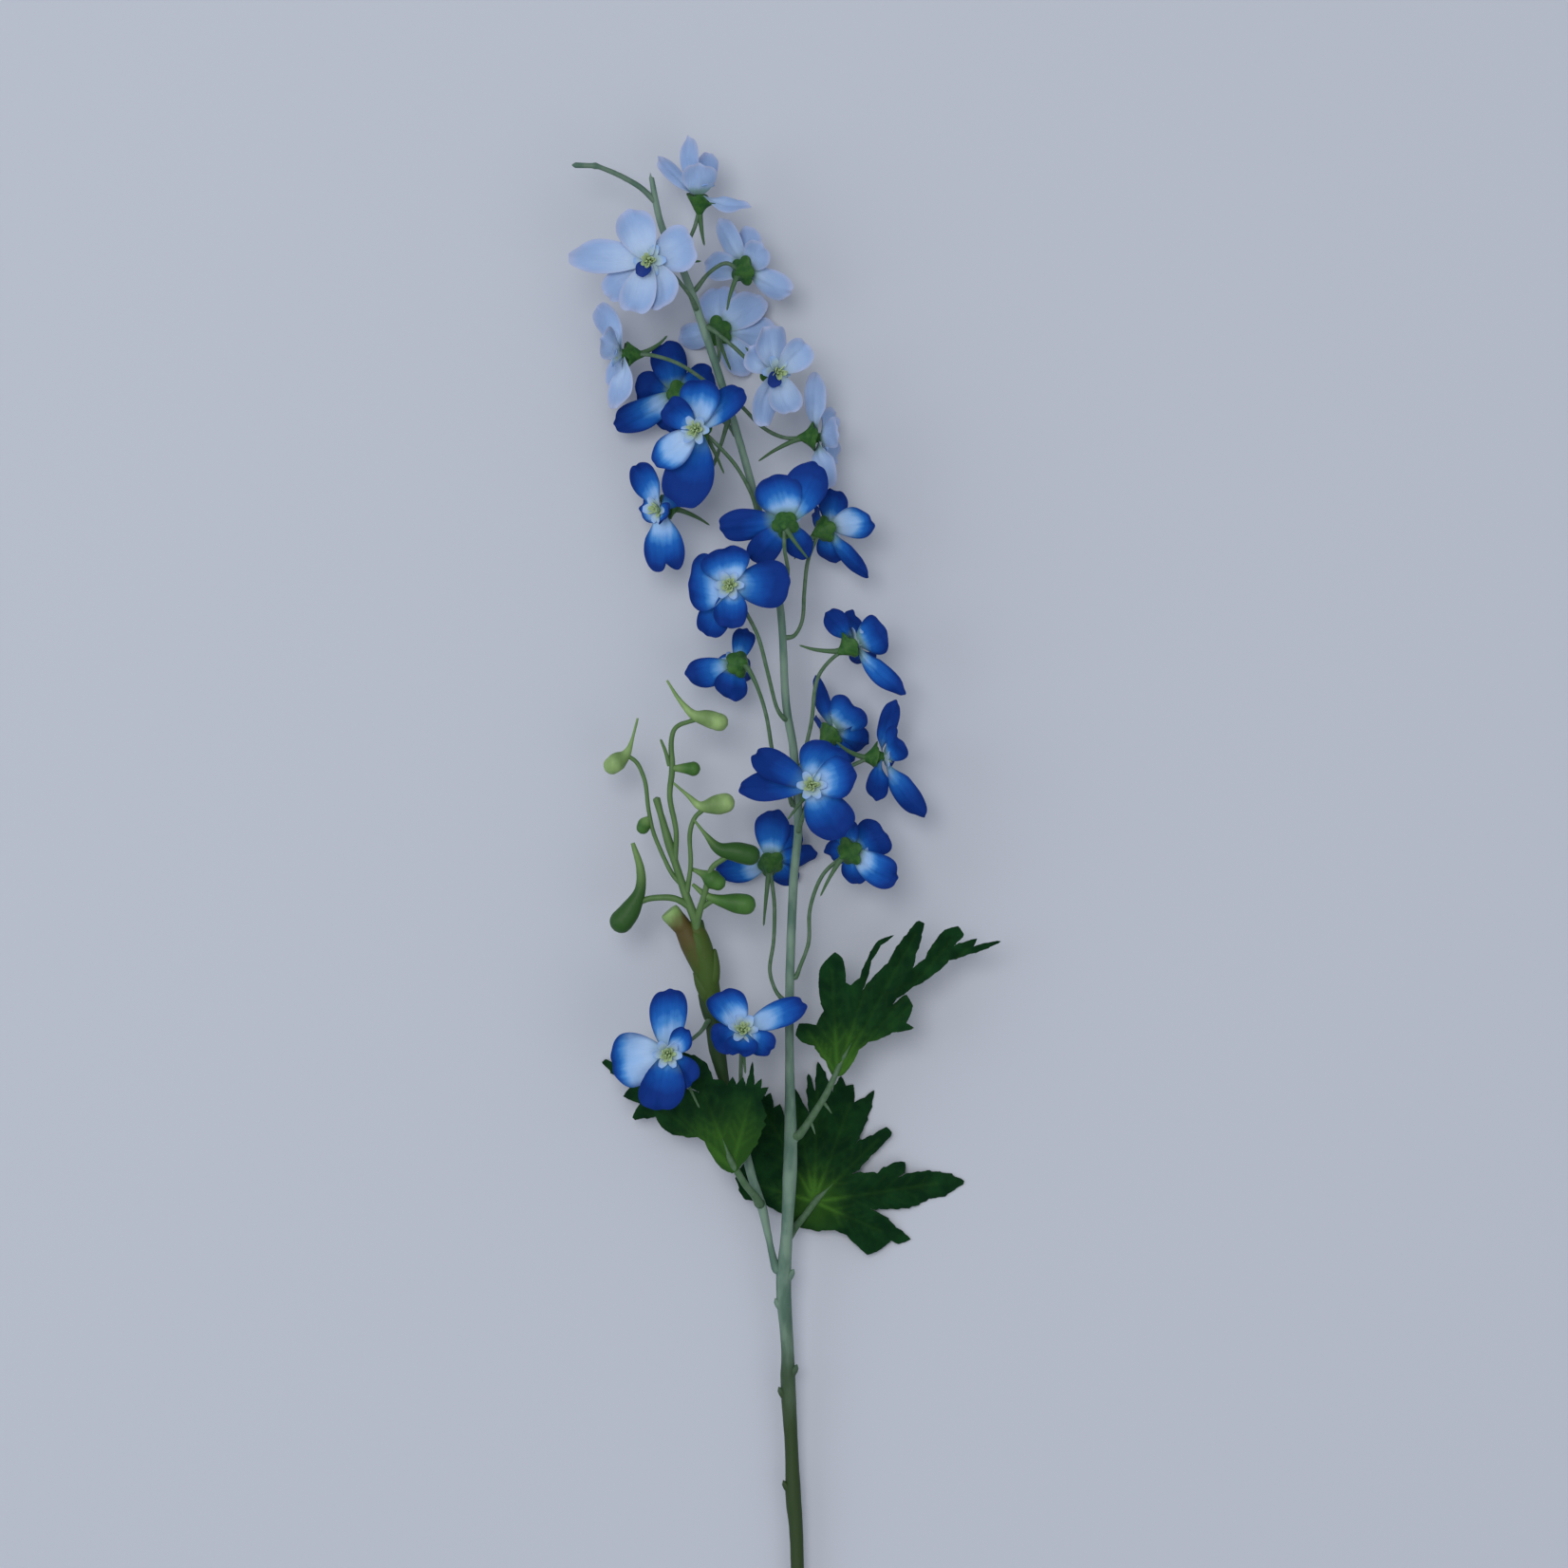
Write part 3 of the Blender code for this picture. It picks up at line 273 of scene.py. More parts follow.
def tubeTree():
    bench, given = newTree("tubes along lines", {
        "Sides": ("Int", 12),
        "Spacing": ("Float", 0.001),
        "Unevenness": ("Float", 0.0001),
        "Grain": ("Float", 200.0),
        "Seed": ("Float", 0.0),
        "Material": ("Material", None),
    })
    line = bench.add("GeometryNodeMeshToCurve", {}, {"Mesh": given["Geometry"]})
    line = bench.add("GeometryNodeCurveSplineType", {"spline_type": "CATMULL_ROM"},
                     {"Curve": line})
    line = bench.add("GeometryNodeResampleCurve", {"mode": "LENGTH"},
                     {"Curve": line, "Length": given["Spacing"]})
    thick = bench.add("GeometryNodeInputNamedAttribute", {"data_type": "FLOAT"}, {"Name": "thick"})
    ring = bench.add("GeometryNodeCurvePrimitiveCircle", {},
                     {"Resolution": given["Sides"], "Radius": 1.0})
    tube = bench.add("GeometryNodeCurveToMesh", {}, {
        "Curve": line, "Profile Curve": ring, "Scale": thick, "Fill Caps": True})
    spot = bench.add("GeometryNodeInputPosition")
    bumps = bench.add("ShaderNodeTexNoise", {"noise_dimensions": "4D"},
                      {"Vector": spot, "W": given["Seed"], "Scale": given["Grain"]})
    height = (bumps - 0.5) * given["Unevenness"] * 2.0
    outward = bench.add("GeometryNodeInputNormal")
    shift = bench.add("ShaderNodeVectorMath", {"operation": "SCALE"},
                      {"Vector": outward, "Scale": height})
    skin = bench.add("GeometryNodeSetPosition", {}, {"Geometry": tube, "Offset": shift})
    skin = bench.add("GeometryNodeSetShadeSmooth", {}, {"Geometry": skin})
    return endTree(bench, skin, given["Material"])


def tubesAlong(name, lines, material, tones, spacing, **changes):
    # One mesh of tubes; each line's points hold x, y, z and the radius, and a line's tone is
    # one number or one for each point
    look = {**tubeLook, **changes}
    points, edges, thick, along, tone = [], [], [], [], []
    for line, shade in zip(lines, tones):
        first = len(points)
        points += [point[:3] for point in line]
        edges += [(index, index + 1) for index in range(first, len(points) - 1)]
        thick += [point[3] * mm for point in line]
        along += list(np.linspace(0, 1, len(line)))
        tone += list(np.broadcast_to(shade, len(line)))
    host = bpy.data.objects.new(name, meshOf(name, points, [], edges=edges, thick=thick,
                                             along=along, tone=tone))
    return grown(host, tubes, {
        "Sides": look["sides"],
        "Spacing": spacing * mm,
        "Unevenness": look["unevenness"] * mm,
        "Grain": look["grain"],
        "Seed": look["seed"],
        "Material": material,
    })


tubes = tubeTree()


# Places and shapes that the photo gives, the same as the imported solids'. Lines hold x, y, z and
# the radius

# Main stem, from its cut end to its tip
stemLine = [
    (5.2, -370, 3.1, 3.1), (5.6, -323, 4.4, 2.9), (4.4, -231.2, 6.8, 2.8), (2.8, -205, 7.8, 3.3),
    (2, -184, 8.8, 2.8), (0.6, -158, 10.6, 3.2), (0.2, -140, 12, 2.7), (-1.4, -114, 15, 3.2),
    (0, -91.2, 17.5, 2.5), (1.2, -67.2, 19.5, 3), (1.6, -49.2, 20.8, 2.7),
    (1.2, -19.2, 22.5, 1.9), (1.2, 12.8, 24, 1.9), (2.8, 56.8, 25.5, 1.9), (4.8, 82, 26.2, 1.8),
    (2.8, 112.8, 26.8, 1.8), (-0.4, 132.8, 27, 1.7), (-2.8, 172.8, 27, 1.6),
    (-9.6, 204.8, 27, 1.6), (-18.8, 238.8, 27, 1.6), (-26.4, 264, 26.8, 1.6),
    (-37.2, 296.8, 26.6, 1.8), (-44.4, 316.4, 26.6, 1.6), (-52.8, 333.6, 26.8, 1.5),
    (-57, 353.6, 27, 1.1),
]

# Bare shoot at the tip, bent to the left
tipShoot = [
    (-55.6, 344, 26.9, 1.3), (-62, 350, 27.4, 1.2), (-71, 355, 28.2, 1.1),
    (-78.6, 358.1, 28.7, 1.05), (-80.6, 358.7, 28.8, 1.45), (-82.6, 358.8, 28.8, 1.1),
    (-89.8, 359, 29, 1.2),
]

# Side branch, from its root beside the stem up into the sheath of the bud sprig
branchLine = [
    (-7, -97, 16.8, 1.4), (-10.4, -81.2, 17, 2), (-14.4, -69.2, 17.4, 1.9),
    (-17.6, -57.2, 18, 1.9), (-22.2, -44, 19, 1.9), (-26.4, -27.2, 20.6, 2.2),
    (-29.4, -13.2, 22.4, 3.6), (-31.4, 4.8, 24.4, 3.9), (-33.6, 18.8, 26, 4.6),
    (-36.6, 29, 27, 5.4), (-38.4, 35, 27.6, 4.6),
]
branchRoot = (-1, -107)

# Open end of the sheath, cut off flat
sheathLip = [
    (-36.4, 27.6, 27, 3.4), (-43, 37, 28.2, 3.9), (-48.4, 43.4, 28.8, 4.3),
    (-49.2, 44.4, 28.9, 4.2), (-49.7, 45, 29, 3.9),
]

# Stalks of the bud sprig, all grown from one foot above the sheath
sprigStalks = [
    [(-38, 36, 29.4, 1.7), (-38.6, 41.1, 30.6, 1.9), (-42.6, 52, 31.2, 1.8),
     (-46.8, 64.8, 31.2, 1.6), (-49.6, 73.6, 31, 1.9), (-52.8, 84.8, 30.8, 1.4),
     (-54.8, 92, 30.6, 1.6)],
    [(-44.4, 56, 31.2, 1), (-48.4, 60.8, 30.6, 1), (-52.4, 68.8, 29.6, 0.9),
     (-56.4, 78.8, 28.8, 0.9), (-58.4, 88.8, 28.8, 0.9), (-59.6, 98.8, 28.4, 0.9),
     (-62.8, 106.8, 27.6, 0.9), (-67.4, 110.6, 27, 0.9)],
    [(-47, 66, 31.4, 1.2), (-46.6, 78.8, 32.6, 1.1), (-49.2, 92.8, 33.2, 1.2),
     (-48.2, 104.8, 33, 1.3), (-48.6, 116, 32, 1.1), (-46.4, 122.4, 31.2, 1),
     (-38.8, 125.4, 30.6, 1)],
    [(-42, 53, 31.6, 1.2), (-40.4, 64.8, 33.4, 1), (-40.8, 76.8, 34.2, 1), (-38.8, 84, 34.4, 1),
     (-35, 87.8, 34.2, 1.1)],
    [(-38, 37, 29.8, 1.5), (-37.4, 42.4, 31.2, 1.6), (-34.6, 52, 34, 1.3), (-31.6, 62.8, 36, 1.2),
     (-25.6, 67.6, 36.6, 1.1)],
    [(-36.6, 46, 32, 1.3), (-31, 49.4, 33.6, 1.2), (-27, 49.4, 34, 1.2)],
    [(-39.6, 45.6, 31, 1.4), (-47, 50.2, 32, 1.4), (-56.4, 50.4, 31.4, 1.3),
     (-62, 48.8, 30.8, 1.3)],
    [(-49.4, 106, 33, 0.9), (-51, 112, 33.6, 0.8), (-53, 117, 34.2, 0.5)],
]

# Buds of the sprig, each from the tip of its spur to the middle of its round end
sprigBuds = [
    [(-64.8, 73.6, 33, 0.9), (-61.6, 62.8, 32.4, 1.8), (-61.8, 53.6, 31.4, 2.4),
     (-66, 45.2, 30.4, 4.4), (-69.6, 40.6, 29.6, 5)],
    [(-62.8, 126.2, 28, 0.5), (-65.4, 116.4, 27.4, 0.8), (-67.6, 111.2, 27, 2),
     (-71, 108.2, 26.6, 3.9), (-73.6, 106.2, 26.4, 3.8)],
    [(-58.2, 84.4, 28.6, 0.9), (-59.6, 82.2, 28, 2.8), (-60.6, 80, 27.6, 2.8)],
    [(-50.4, 142, 31.6, 0.5), (-45.6, 134.4, 31.2, 0.9), (-39.6, 127.8, 30.8, 2),
     (-33.4, 126, 30.6, 3.6), (-28.4, 124.4, 30.4, 3.8)],
    [(-47.6, 105, 33, 1.2), (-43, 105, 33.6, 2.2), (-39.4, 104.8, 34, 3.1)],
    [(-47.6, 98.8, 35.6, 0.5), (-41.6, 93.6, 35, 0.9), (-36.4, 89.2, 34.4, 2),
     (-30, 89.6, 34.2, 4.1), (-26, 90.4, 34, 4.2)],
    [(-39, 83.4, 37.8, 0.5), (-34.4, 77.6, 37.4, 0.9), (-28.6, 71.4, 36.8, 2.6),
     (-21, 69.8, 36.4, 4.3), (-15.6, 68.6, 36, 4.4)],
    [(-40.4, 62.8, 31.6, 0.7), (-35.6, 60.8, 33.4, 1.6), (-31.8, 58.6, 34.2, 4.1),
     (-29, 57, 34.6, 3.4)],
    [(-39.6, 56.2, 31.6, 0.7), (-34, 51.6, 33, 1.5), (-28.6, 49.6, 33.8, 2.4),
     (-22, 48.4, 34, 4.1), (-17.4, 47.8, 34, 4.4)],
]

# Leaves: root on the carrier, stalk and base of the blade, the rules for its height, and its
# outline and midribs in the plane
leaves = [
    dict(
        name="leafLeft", node="leaf_left", heart=26, teeth=1.5, veins=0.55, carrier="branch",
        root=(-12, -79),
        stalk=[(-13.6, -75.4, 23), (-18, -69.6, 27.6), (-23.6, -60, 28.8)],
        base=(-23, -63), height=29, slope=(0.5, 0.06), droop=6, ripple=1.2, rippleCount=5,
        fold=1.6,
        outline=[(-22.8, -65.6), (-27.6, -63.6), (-31.6, -58.4), (-34.8, -52.4), (-37.6, -50.8),
                 (-49.6, -49.2), (-52.8, -47.2), (-55.6, -42.8), (-65.6, -43.2), (-62.4, -37.2),
                 (-69.6, -34.4), (-66.8, -30.8), (-71.6, -26.4), (-78.8, -20), (-67.6, -22.4),
                 (-51.6, -27.2), (-42.8, -30.4), (-36.4, -32), (-49.6, -22.4), (-35.6, -24.8),
                 (-46.8, -14.4), (-34.8, -18.6), (-31, -26), (-26.8, -26.4), (-25.2, -28.6),
                 (-22.8, -24.6), (-21.2, -28), (-18.4, -24.8), (-17.2, -28.4), (-15.8, -23.4),
                 (-14.4, -18), (-13.9, -23.6), (-13.6, -28), (-10.6, -25.2), (-10.8, -29.2),
                 (-7.6, -28.8), (-10.8, -34.4), (-9.2, -39.2), (-10.8, -47.2), (-14.4, -55.2),
                 (-18.4, -61.2)],
        ribs=[(-70, -25), (-60, -41), (-46, -41), (-38, -24), (-15, -33)],
    ),
    dict(
        name="leafUpperRight", node="leaf_upper_right", heart=21, teeth=0.45, veins=0.8,
        carrier="stem", root=(1.6, -50),
        stalk=[(7, -47.4, 23), (12.4, -39.2, 24.6), (17.2, -31.2, 25.6), (22.8, -19, 25.6)],
        base=(21.4, -24.8), height=26, slope=(0.02, 0.06), droop=9, ripple=2.2, rippleCount=6,
        fold=1.8,
        outline=[(19.6, -25.2), (16.4, -18.4), (11.6, -12), (6.4, -10.4), (3.6, -7.2),
                 (5.2, -2.4), (12.4, -3.2), (15.6, 2.8), (13.6, 10.8), (14, 20.8), (17.2, 24.8),
                 (20.4, 27.6), (23.6, 24.8), (24.8, 14.8), (26.8, 13.6), (30.8, 16.8), (34, 24.8),
                 (38.4, 32.4), (45.2, 34.8), (39.6, 30.4), (35.6, 24), (31.6, 10.8), (42.4, 22.8),
                 (50.4, 34.8), (55.6, 40.8), (58, 39.6), (56.8, 34.8), (54.4, 26.8), (53.2, 20.8),
                 (58.4, 24.8), (62.4, 32), (66.4, 36.8), (72.4, 38.4), (74.8, 34.8), (68.4, 28.8),
                 (80.4, 33.2), (78.8, 29.8), (90.4, 32), (76.4, 26.4), (68.4, 24), (62.4, 18.4),
                 (53.2, 12.8), (46.4, 8), (41.6, 2), (50.4, 9.6), (53.2, 4.8), (50.4, -2.4),
                 (53.6, -4.4), (44.4, -6.4), (34.4, -10.4), (30.4, -13.6), (27.2, -20),
                 (23.6, -24.4)],
        ribs=[(9, -6), (19, 20), (38, 28), (54, 35), (69, 32), (76, 28.6), (47, -2)],
        spikes=[
            [(14.8, -35.2, 25.1, 0.9), (17, -37.8, 25.2, 0.6), (18.9, -40.6, 24.8, 0.25)],
            [(9.4, -43.2, 23.8, 0.9), (10.8, -46, 24, 0.6), (11.9, -49.4, 23.6, 0.25)],
        ],
    ),
    dict(
        name="leafLowerRight", node="leaf_lower_right", heart=15, teeth=0.8, veins=1,
        carrier="stem", root=(0.4, -93), stalk=[(3.4, -90, 9), (7.6, -85, 6.4), (13, -78, 5.4)],
        base=(11.6, -79.2), height=5.4, slope=(-0.062, 0), droop=6.5, ripple=2.6, rippleCount=4,
        fold=1.4,
        outline=[(4.4, -90), (-1.6, -84.4), (-9.6, -79.2), (-18.4, -77.6), (-21.6, -68),
                 (-17.2, -61.6), (-15.6, -51.2), (-14, -39.2), (-11.6, -30), (-9.2, -34.4),
                 (-6.8, -32.8), (-5.6, -39.2), (-2.8, -37.6), (-0.8, -44), (3.6, -31.2),
                 (6.8, -37.2), (9.6, -42), (9.2, -24.8), (12.6, -37.2), (13.2, -20),
                 (17.2, -27.2), (19.6, -33), (23.2, -26), (25.2, -30.4), (28.4, -29.6),
                 (28.8, -37.2), (33.2, -35.2), (37.2, -32), (34.4, -43.2), (28.8, -55.2),
                 (36.4, -51.2), (42.4, -47.6), (44.8, -50), (35.6, -60), (27.2, -67.6),
                 (38.4, -67.2), (46.4, -62.4), (50.4, -62.4), (50.4, -66), (44.4, -71.2),
                 (52.4, -67.2), (66.4, -67.2), (75.6, -70.8), (68.4, -76.4), (60.4, -78.4),
                 (53.2, -81.6), (34.4, -82), (40.4, -84.8), (46.4, -90.4), (52.8, -95.6),
                 (47.6, -97.6), (44.4, -96), (39.6, -100), (34.4, -102), (30.4, -98.4),
                 (25.2, -93.2), (20.4, -91.2)],
        ribs=[(-16, -71), (-9, -41), (4, -38), (13, -33), (27, -38), (39, -53), (64, -71.8),
              (40, -92)],
    ),
]

# Florets: root on the stem or another carrier, centre of the petal ring, way it faces, spur tip,
# stalk, and each petal's tip measured from the centre, its width and the pale share of its
# length. Show is how far the petals turn their face to the viewer, bee the turn of a dark bee
# petal, and tips the point of a single petal. The third petal of floret 8 leans back more than
# the solid, so that its eye shows
florets = [
    dict(
        number=1, tone="pale", root=(-44.4, 316.4), centre=(-36.8, 346.4, 27),
        facing=(0, 1, 0.15), spur=(2, -20.8, -2), stalk=[(-41.6, 326, 25.6), (-38.6, 334, 25.6)],
        show=0.6,
        petals=[(-6.2, 23.6, 5, 9, 0.45), (4.4, 18.4, -4, 10, 0.5), (-15.6, 17.2, -3, 8, 0.4),
                (20, -5.6, 2, 8, 0.4), (0.4, 12.2, 11, 15, 0.45)],
    ),
    dict(
        number=2, tone="pale", root=(-38, 299), centre=(-57.2, 317, 46), facing=(-0.2, 0, 0.98),
        spur=(21, 1, -11), stalk=[(-41, 304, 34), (-48, 312, 38)], bee=-2.07,
        petals=[(-33.2, 5.2, -2, 15, 0.6), (-8.8, 21.2, 2, 17, 0.6), (18, 8, 6, 20, 0.5),
                (7.2, -18.8, 4, 17, 0.6), (-7.2, -22.4, 2, 15, 0.6), (-20, -13, -2, 13, 0.55)],
    ),
    dict(
        number=3, tone="pale", root=(-40.6, 306), centre=(-17.2, 316, 20),
        facing=(0.45, 0.3, -0.75), spur=(-8, -18, 8),
        stalk=[(-32.6, 314, 26), (-25.6, 318, 25.6)], show=0.4,
        petals=[(-11.6, 20.8, -2, 11, 0.5), (0.4, 17.8, 2, 11, 0.35), (-16.8, 4, -10, 13, 0.5),
                (8, 9, 10, 13, 0.45), (18.8, -11.2, 4, 12, 0.5)],
    ),
    dict(
        number=4, tone="pale", root=(-30.6, 276), centre=(-28.8, 290.8, 8),
        facing=(0.15, 0.1, -0.98), spur=(5, -17, 6), stalk=[(-28.6, 280, 20), (-29.4, 288, 18)],
        petals=[(-0.8, 19.2, -4, 17, 0.45), (18, 15, -1, 15, 0.4), (24.4, -1, -2, 16, 0.4),
                (13.2, -18, -5, 14, 0.5), (-17.2, -2.8, -8, 12, 0.5)],
    ),
    dict(
        number=5, tone="pale", root=(-25.8, 262), centre=(-68.8, 280, 24),
        facing=(-0.95, 0.05, 0.15), spur=(18, 8, -8),
        stalk=[(-33, 267, 28), (-45, 275, 30), (-56, 279, 26)], show=0.7,
        petals=[(-10.4, 20.8, 2, 10, 0.4), (-9, 6, 12, 13, 0.5), (-9, 6, -12, 12, 0.5),
                (-3, -23, 4, 11, 0.5), (-7, -13, -9, 10, 0.5)],
    ),
    dict(
        number=6, tone="dark", root=(-20.6, 246), centre=(-46.4, 264, 12),
        facing=(-0.3, 0.2, -0.93), spur=(13, -13, 4), stalk=[(-25, 250, 21), (-36, 258, 20)],
        petals=[(-5.2, 22, 2, 17, 0.2), (15, 9, -5, 15, 0.3), (-18, 1, 2, 17, 0.1),
                (-26, -15.4, 0, 14, 0.5), (-5, -16, -5, 15, 0.3)],
    ),
    dict(
        number=7, tone="dark", root=(-11.6, 211), centre=(-37.6, 246.8, 46),
        facing=(-0.25, -0.15, 0.95), spur=(11.2, -18, -10),
        stalk=[(-15.6, 222, 33), (-23, 234, 37)],
        petals=[(1.2, 20.8, 5, 18, 0.58), (18, 17.4, 8, 13, 0.4), (-17.2, -15.2, -4, 15, 0.8),
                (-5, -33, -5, 23, 0.12), (-13, 11, 2, 13, 0.22)],
    ),
    dict(
        number=8, tone="dark", root=(-22.4, 252), centre=(-52.8, 214, 27),
        facing=(-0.8, -0.1, 0.5), spur=(20, -6, -10),
        stalk=[(-27.4, 242.6, 28), (-31, 233, 27), (-38, 222, 26)], show=0.65, tips={1: -0.4},
        petals=[(-10.8, 19.6, -2, 12, 0.42), (1.2, -26.8, 2, 17, 0.45), (3, -3, 11.5, 10, 0.25),
                (-9, 1, -15, 12, 0.85), (11, 13, 8, 12, 0.1)],
    ),
    dict(
        number=9, tone="pale", root=(-25.8, 262), centre=(13.2, 244.8, 22),
        facing=(0.95, 0, -0.1), spur=(-25, -10, 1),
        stalk=[(-18.4, 257, 25), (-10, 248.8, 24), (-1, 244.6, 23)], show=0.7,
        petals=[(-1, 26.8, 3, 10, 0.45), (9, 2, 14, 13, 0.4), (8, 10, -12, 12, 0.4),
                (8, -9, -12, 12, 0.4), (5.6, -22, 0, 12, 0.45)],
    ),
    dict(
        number=10, tone="pale", root=(-35, 290), centre=(-4.4, 271.1, 40),
        facing=(0.4, -0.1, 0.9), spur=(-13, 11, -9),
        stalk=[(-28.4, 287.4, 29), (-22.4, 282.4, 30), (-14.8, 275.6, 32)],
        bee=-2.3,
        petals=[(-4, 18.8, 5, 16, 0.55), (14, 11.2, -1, 14, 0.6), (5.6, -17.6, -1, 16, 0.6),
                (-8.4, -22.4, 3, 13, 0.6), (-12, 8, 7, 12, 0.6)],
    ),
    dict(
        number=11, tone="dark", root=(-3.4, 181), centre=(-0.4, 208, 40),
        facing=(0.1, 0.25, -0.95), spur=(9, -15, 4), stalk=[(0.4, 186.6, 36), (-1, 197, 43.4)],
        petals=[(-4.2, 19.8, 3, 21, 0.55), (12.8, 24.8, 5, 18, 0.35), (-28, 0, -4, 14, 0.15),
                (-14, -16, -6, 13, 0.15), (8, -15, -5, 12, 0.2)],
    ),
    dict(
        number=12, tone="dark", root=(-1.8, 160), centre=(17.2, 206.4, 22),
        facing=(0.6, 0.3, -0.5), spur=(-14, -13, 3),
        stalk=[(3.6, 161.4, 26), (6.6, 168, 25.4), (7.4, 180, 25), (9, 193, 25)],
        show=0.5,
        petals=[(16, -20, -2, 9, 0.3), (18.4, 4, 8, 14, 0.8), (3, -14, -10, 13, 0.3),
                (3, 17, -3, 14, 0.3), (-6, 6, -16, 11, 0.3)],
    ),
    dict(
        number=13, tone="dark", root=(-0.2, 126), centre=(-23.6, 181.4, 45),
        facing=(-0.15, 0, 0.98), spur=(16, -6.6, -11),
        stalk=[(-4.4, 131, 30.6), (-8, 145, 34.6), (-12, 160, 37), (-18, 172, 38)],
        petals=[(-17.6, 1, 0, 25, 0.5), (-3, 16, 3, 21, 0.44), (25, 1, 6, 20, 0.2),
                (-12, -20, 0, 14, 0.42), (1, -18, 3, 15, 0.3)],
    ),
    dict(
        number=14, tone="dark", root=(4.6, 90), centre=(-21.2, 148.8, 23),
        facing=(-0.45, -0.15, -0.88), spur=(11, -15, 7),
        stalk=[(0, 97, 28.6), (-5.5, 110, 29), (-8.4, 126, 29.4), (-11.6, 137, 29.6),
               (-15.4, 145, 29.4)],
        show=0.3,
        petals=[(2.8, 15.6, -6, 10, 0.35), (-20.8, -6.4, 4, 13, 0.45), (-4.4, -14.2, 0, 15, 0.15),
                (6, -2, -15, 10, 0.2), (-10, 0, -12, 11, 0.3)],
    ),
    dict(
        number=15, tone="dark", root=(3.6, 104), centre=(28.4, 157.6, 25),
        facing=(0.75, 0.45, -0.3), spur=(-23, -0.8, 3),
        stalk=[(7.6, 112.8, 29), (10.4, 124.8, 31), (11.6, 136.8, 31), (13.6, 144.4, 30),
               (18.4, 150.6, 28)],
        show=0.6,
        petals=[(-10.4, 14.4, 0, 11, 0.15), (0, 13, -12, 10, 0.2), (13.6, 4.2, 8, 18, 0.3),
                (20.8, -21.2, 3, 10, 0.4), (6, -8, -14, 12, 0.2)],
    ),
    dict(
        number=16, tone="dark", root=(4.6, 86), centre=(19.2, 120.8, 17), facing=(0.5, 0.6, -0.4),
        spur=(-10, -12, 2), stalk=[(9.6, 92.6, 23.6), (14, 105, 21.6)], show=0.5,
        petals=[(-6, 22.4, -2, 9, 0.1), (15, -5, -3, 16, 0.3), (10, 11, 8, 18, 0.48),
                (-6, 4, -17.5, 11, 0.2), (7, -14, -6, 12, 0.2)],
    ),
    dict(
        number=17, tone="dark", root=(4, 97), centre=(40, 110, 25), facing=(0.95, 0.1, 0),
        spur=(-19, 6, 7), stalk=[(11.6, 99, 28), (20, 102, 28), (28, 106.4, 27)], show=0.75,
        petals=[(4.8, 23.6, -2, 9, 0.15), (8, 8, 11, 15, 0.3), (-1.2, -18.4, 5, 10, 0.15),
                (16.4, -25.6, 0, 11, 0.35), (6, 2, -15, 12, 0.2)],
    ),
    dict(
        number=18, tone="dark", root=(4.6, 79), centre=(10.4, 97.6, 50), facing=(0, 0.1, 0.99),
        spur=(-10, -14, -10), stalk=[(6.6, 84, 34), (9.4, 91, 40)],
        petals=[(-24.8, 13.2, 1, 13, 0.1), (-30, 1.2, -2, 13, 0.1), (8, 18, 4, 22, 0.42),
                (18, 5, 6, 18, 0.45), (11, -22, 2, 20, 0.25)],
    ),
    dict(
        number=19, tone="dark", root=(1.2, 7), centre=(-6.8, 65.6, 9), facing=(0.1, 0.45, -0.8),
        spur=(-3, -27, 9),
        stalk=[(-4.8, 11.4, 22.6), (-7.2, 20, 21.6), (-5.6, 32, 20.4), (-5.2, 46, 18.4),
               (-6.2, 56, 16.6)],
        petals=[(1, 22, 4, 15, 0.4), (12, 14, 2, 13, 0.3), (-22.8, -5.6, -4, 13, 0.55),
                (19, 4.2, -3, 12, 0.2), (9.2, -9.2, -9, 13, 0.3)],
    ),
    dict(
        number=20, tone="dark", root=(1.4, 17), centre=(27.2, 70.4, 28), facing=(0.5, 0.3, -0.75),
        spur=(-13, -19, 5),
        stalk=[(5.6, 21.4, 24.6), (9.2, 32, 26.6), (9.8, 46, 28.6), (15, 60, 32)],
        show=0.3,
        petals=[(14, 9, 2, 17, 0.2), (18.8, -13.6, 4, 15, 0.55), (-4, 14, 3, 13, 0.3),
                (2, -14, -8, 12, 0.3), (-10, -2, -12, 11, 0.3)],
    ),
    dict(
        number=21, tone="dark", carrier="branch", root=(-30.8, -1), centre=(-49.6, -14.4, 44),
        facing=(-0.1, -0.1, 0.98), spur=(12.8, -23, -8), stalk=[(-36.4, -6, 31.4), (-43, -11, 35)],
        petals=[(-1, 27.2, 3, 16, 0.5), (-24, -3.8, 0, 23, 0.85), (-3, -24, 1, 19, 0.12),
                (10, -13, 2, 14, 0.1), (9, 9, 5, 10, 0.5)],
    ),
    dict(
        number=22, tone="dark", carrier="branch", root=(-21.6, -46), centre=(-18.4, -5.2, 41),
        facing=(0.05, 0.3, 0.9), spur=(1, -18, -8),
        stalk=[(-19, -38, 21.4), (-19.4, -27, 26), (-19.2, -15, 32)],
        petals=[(-9.6, 17.2, -2, 16, 0.5), (-12.6, -5, 2, 14, 0.15), (25, 14, -2, 12, 0.55),
                (-1, -10, 11, 14, 0.2), (12, -8, 5, 11, 0.4)],
    ),
]


# Finishes

stemColours = dict(
    pale=(0.150, 0.235, 0.180), dull=(0.070, 0.140, 0.105), foot=(0.020, 0.046, 0.009),
    darkenFrom=-0.115, darkenTo=-0.175, shade=(0.012, 0.040, 0.008), olive=(0.040, 0.085, 0.008),
    brown=(0.070, 0.052, 0.010), lip=(0.200, 0.330, 0.110),
)


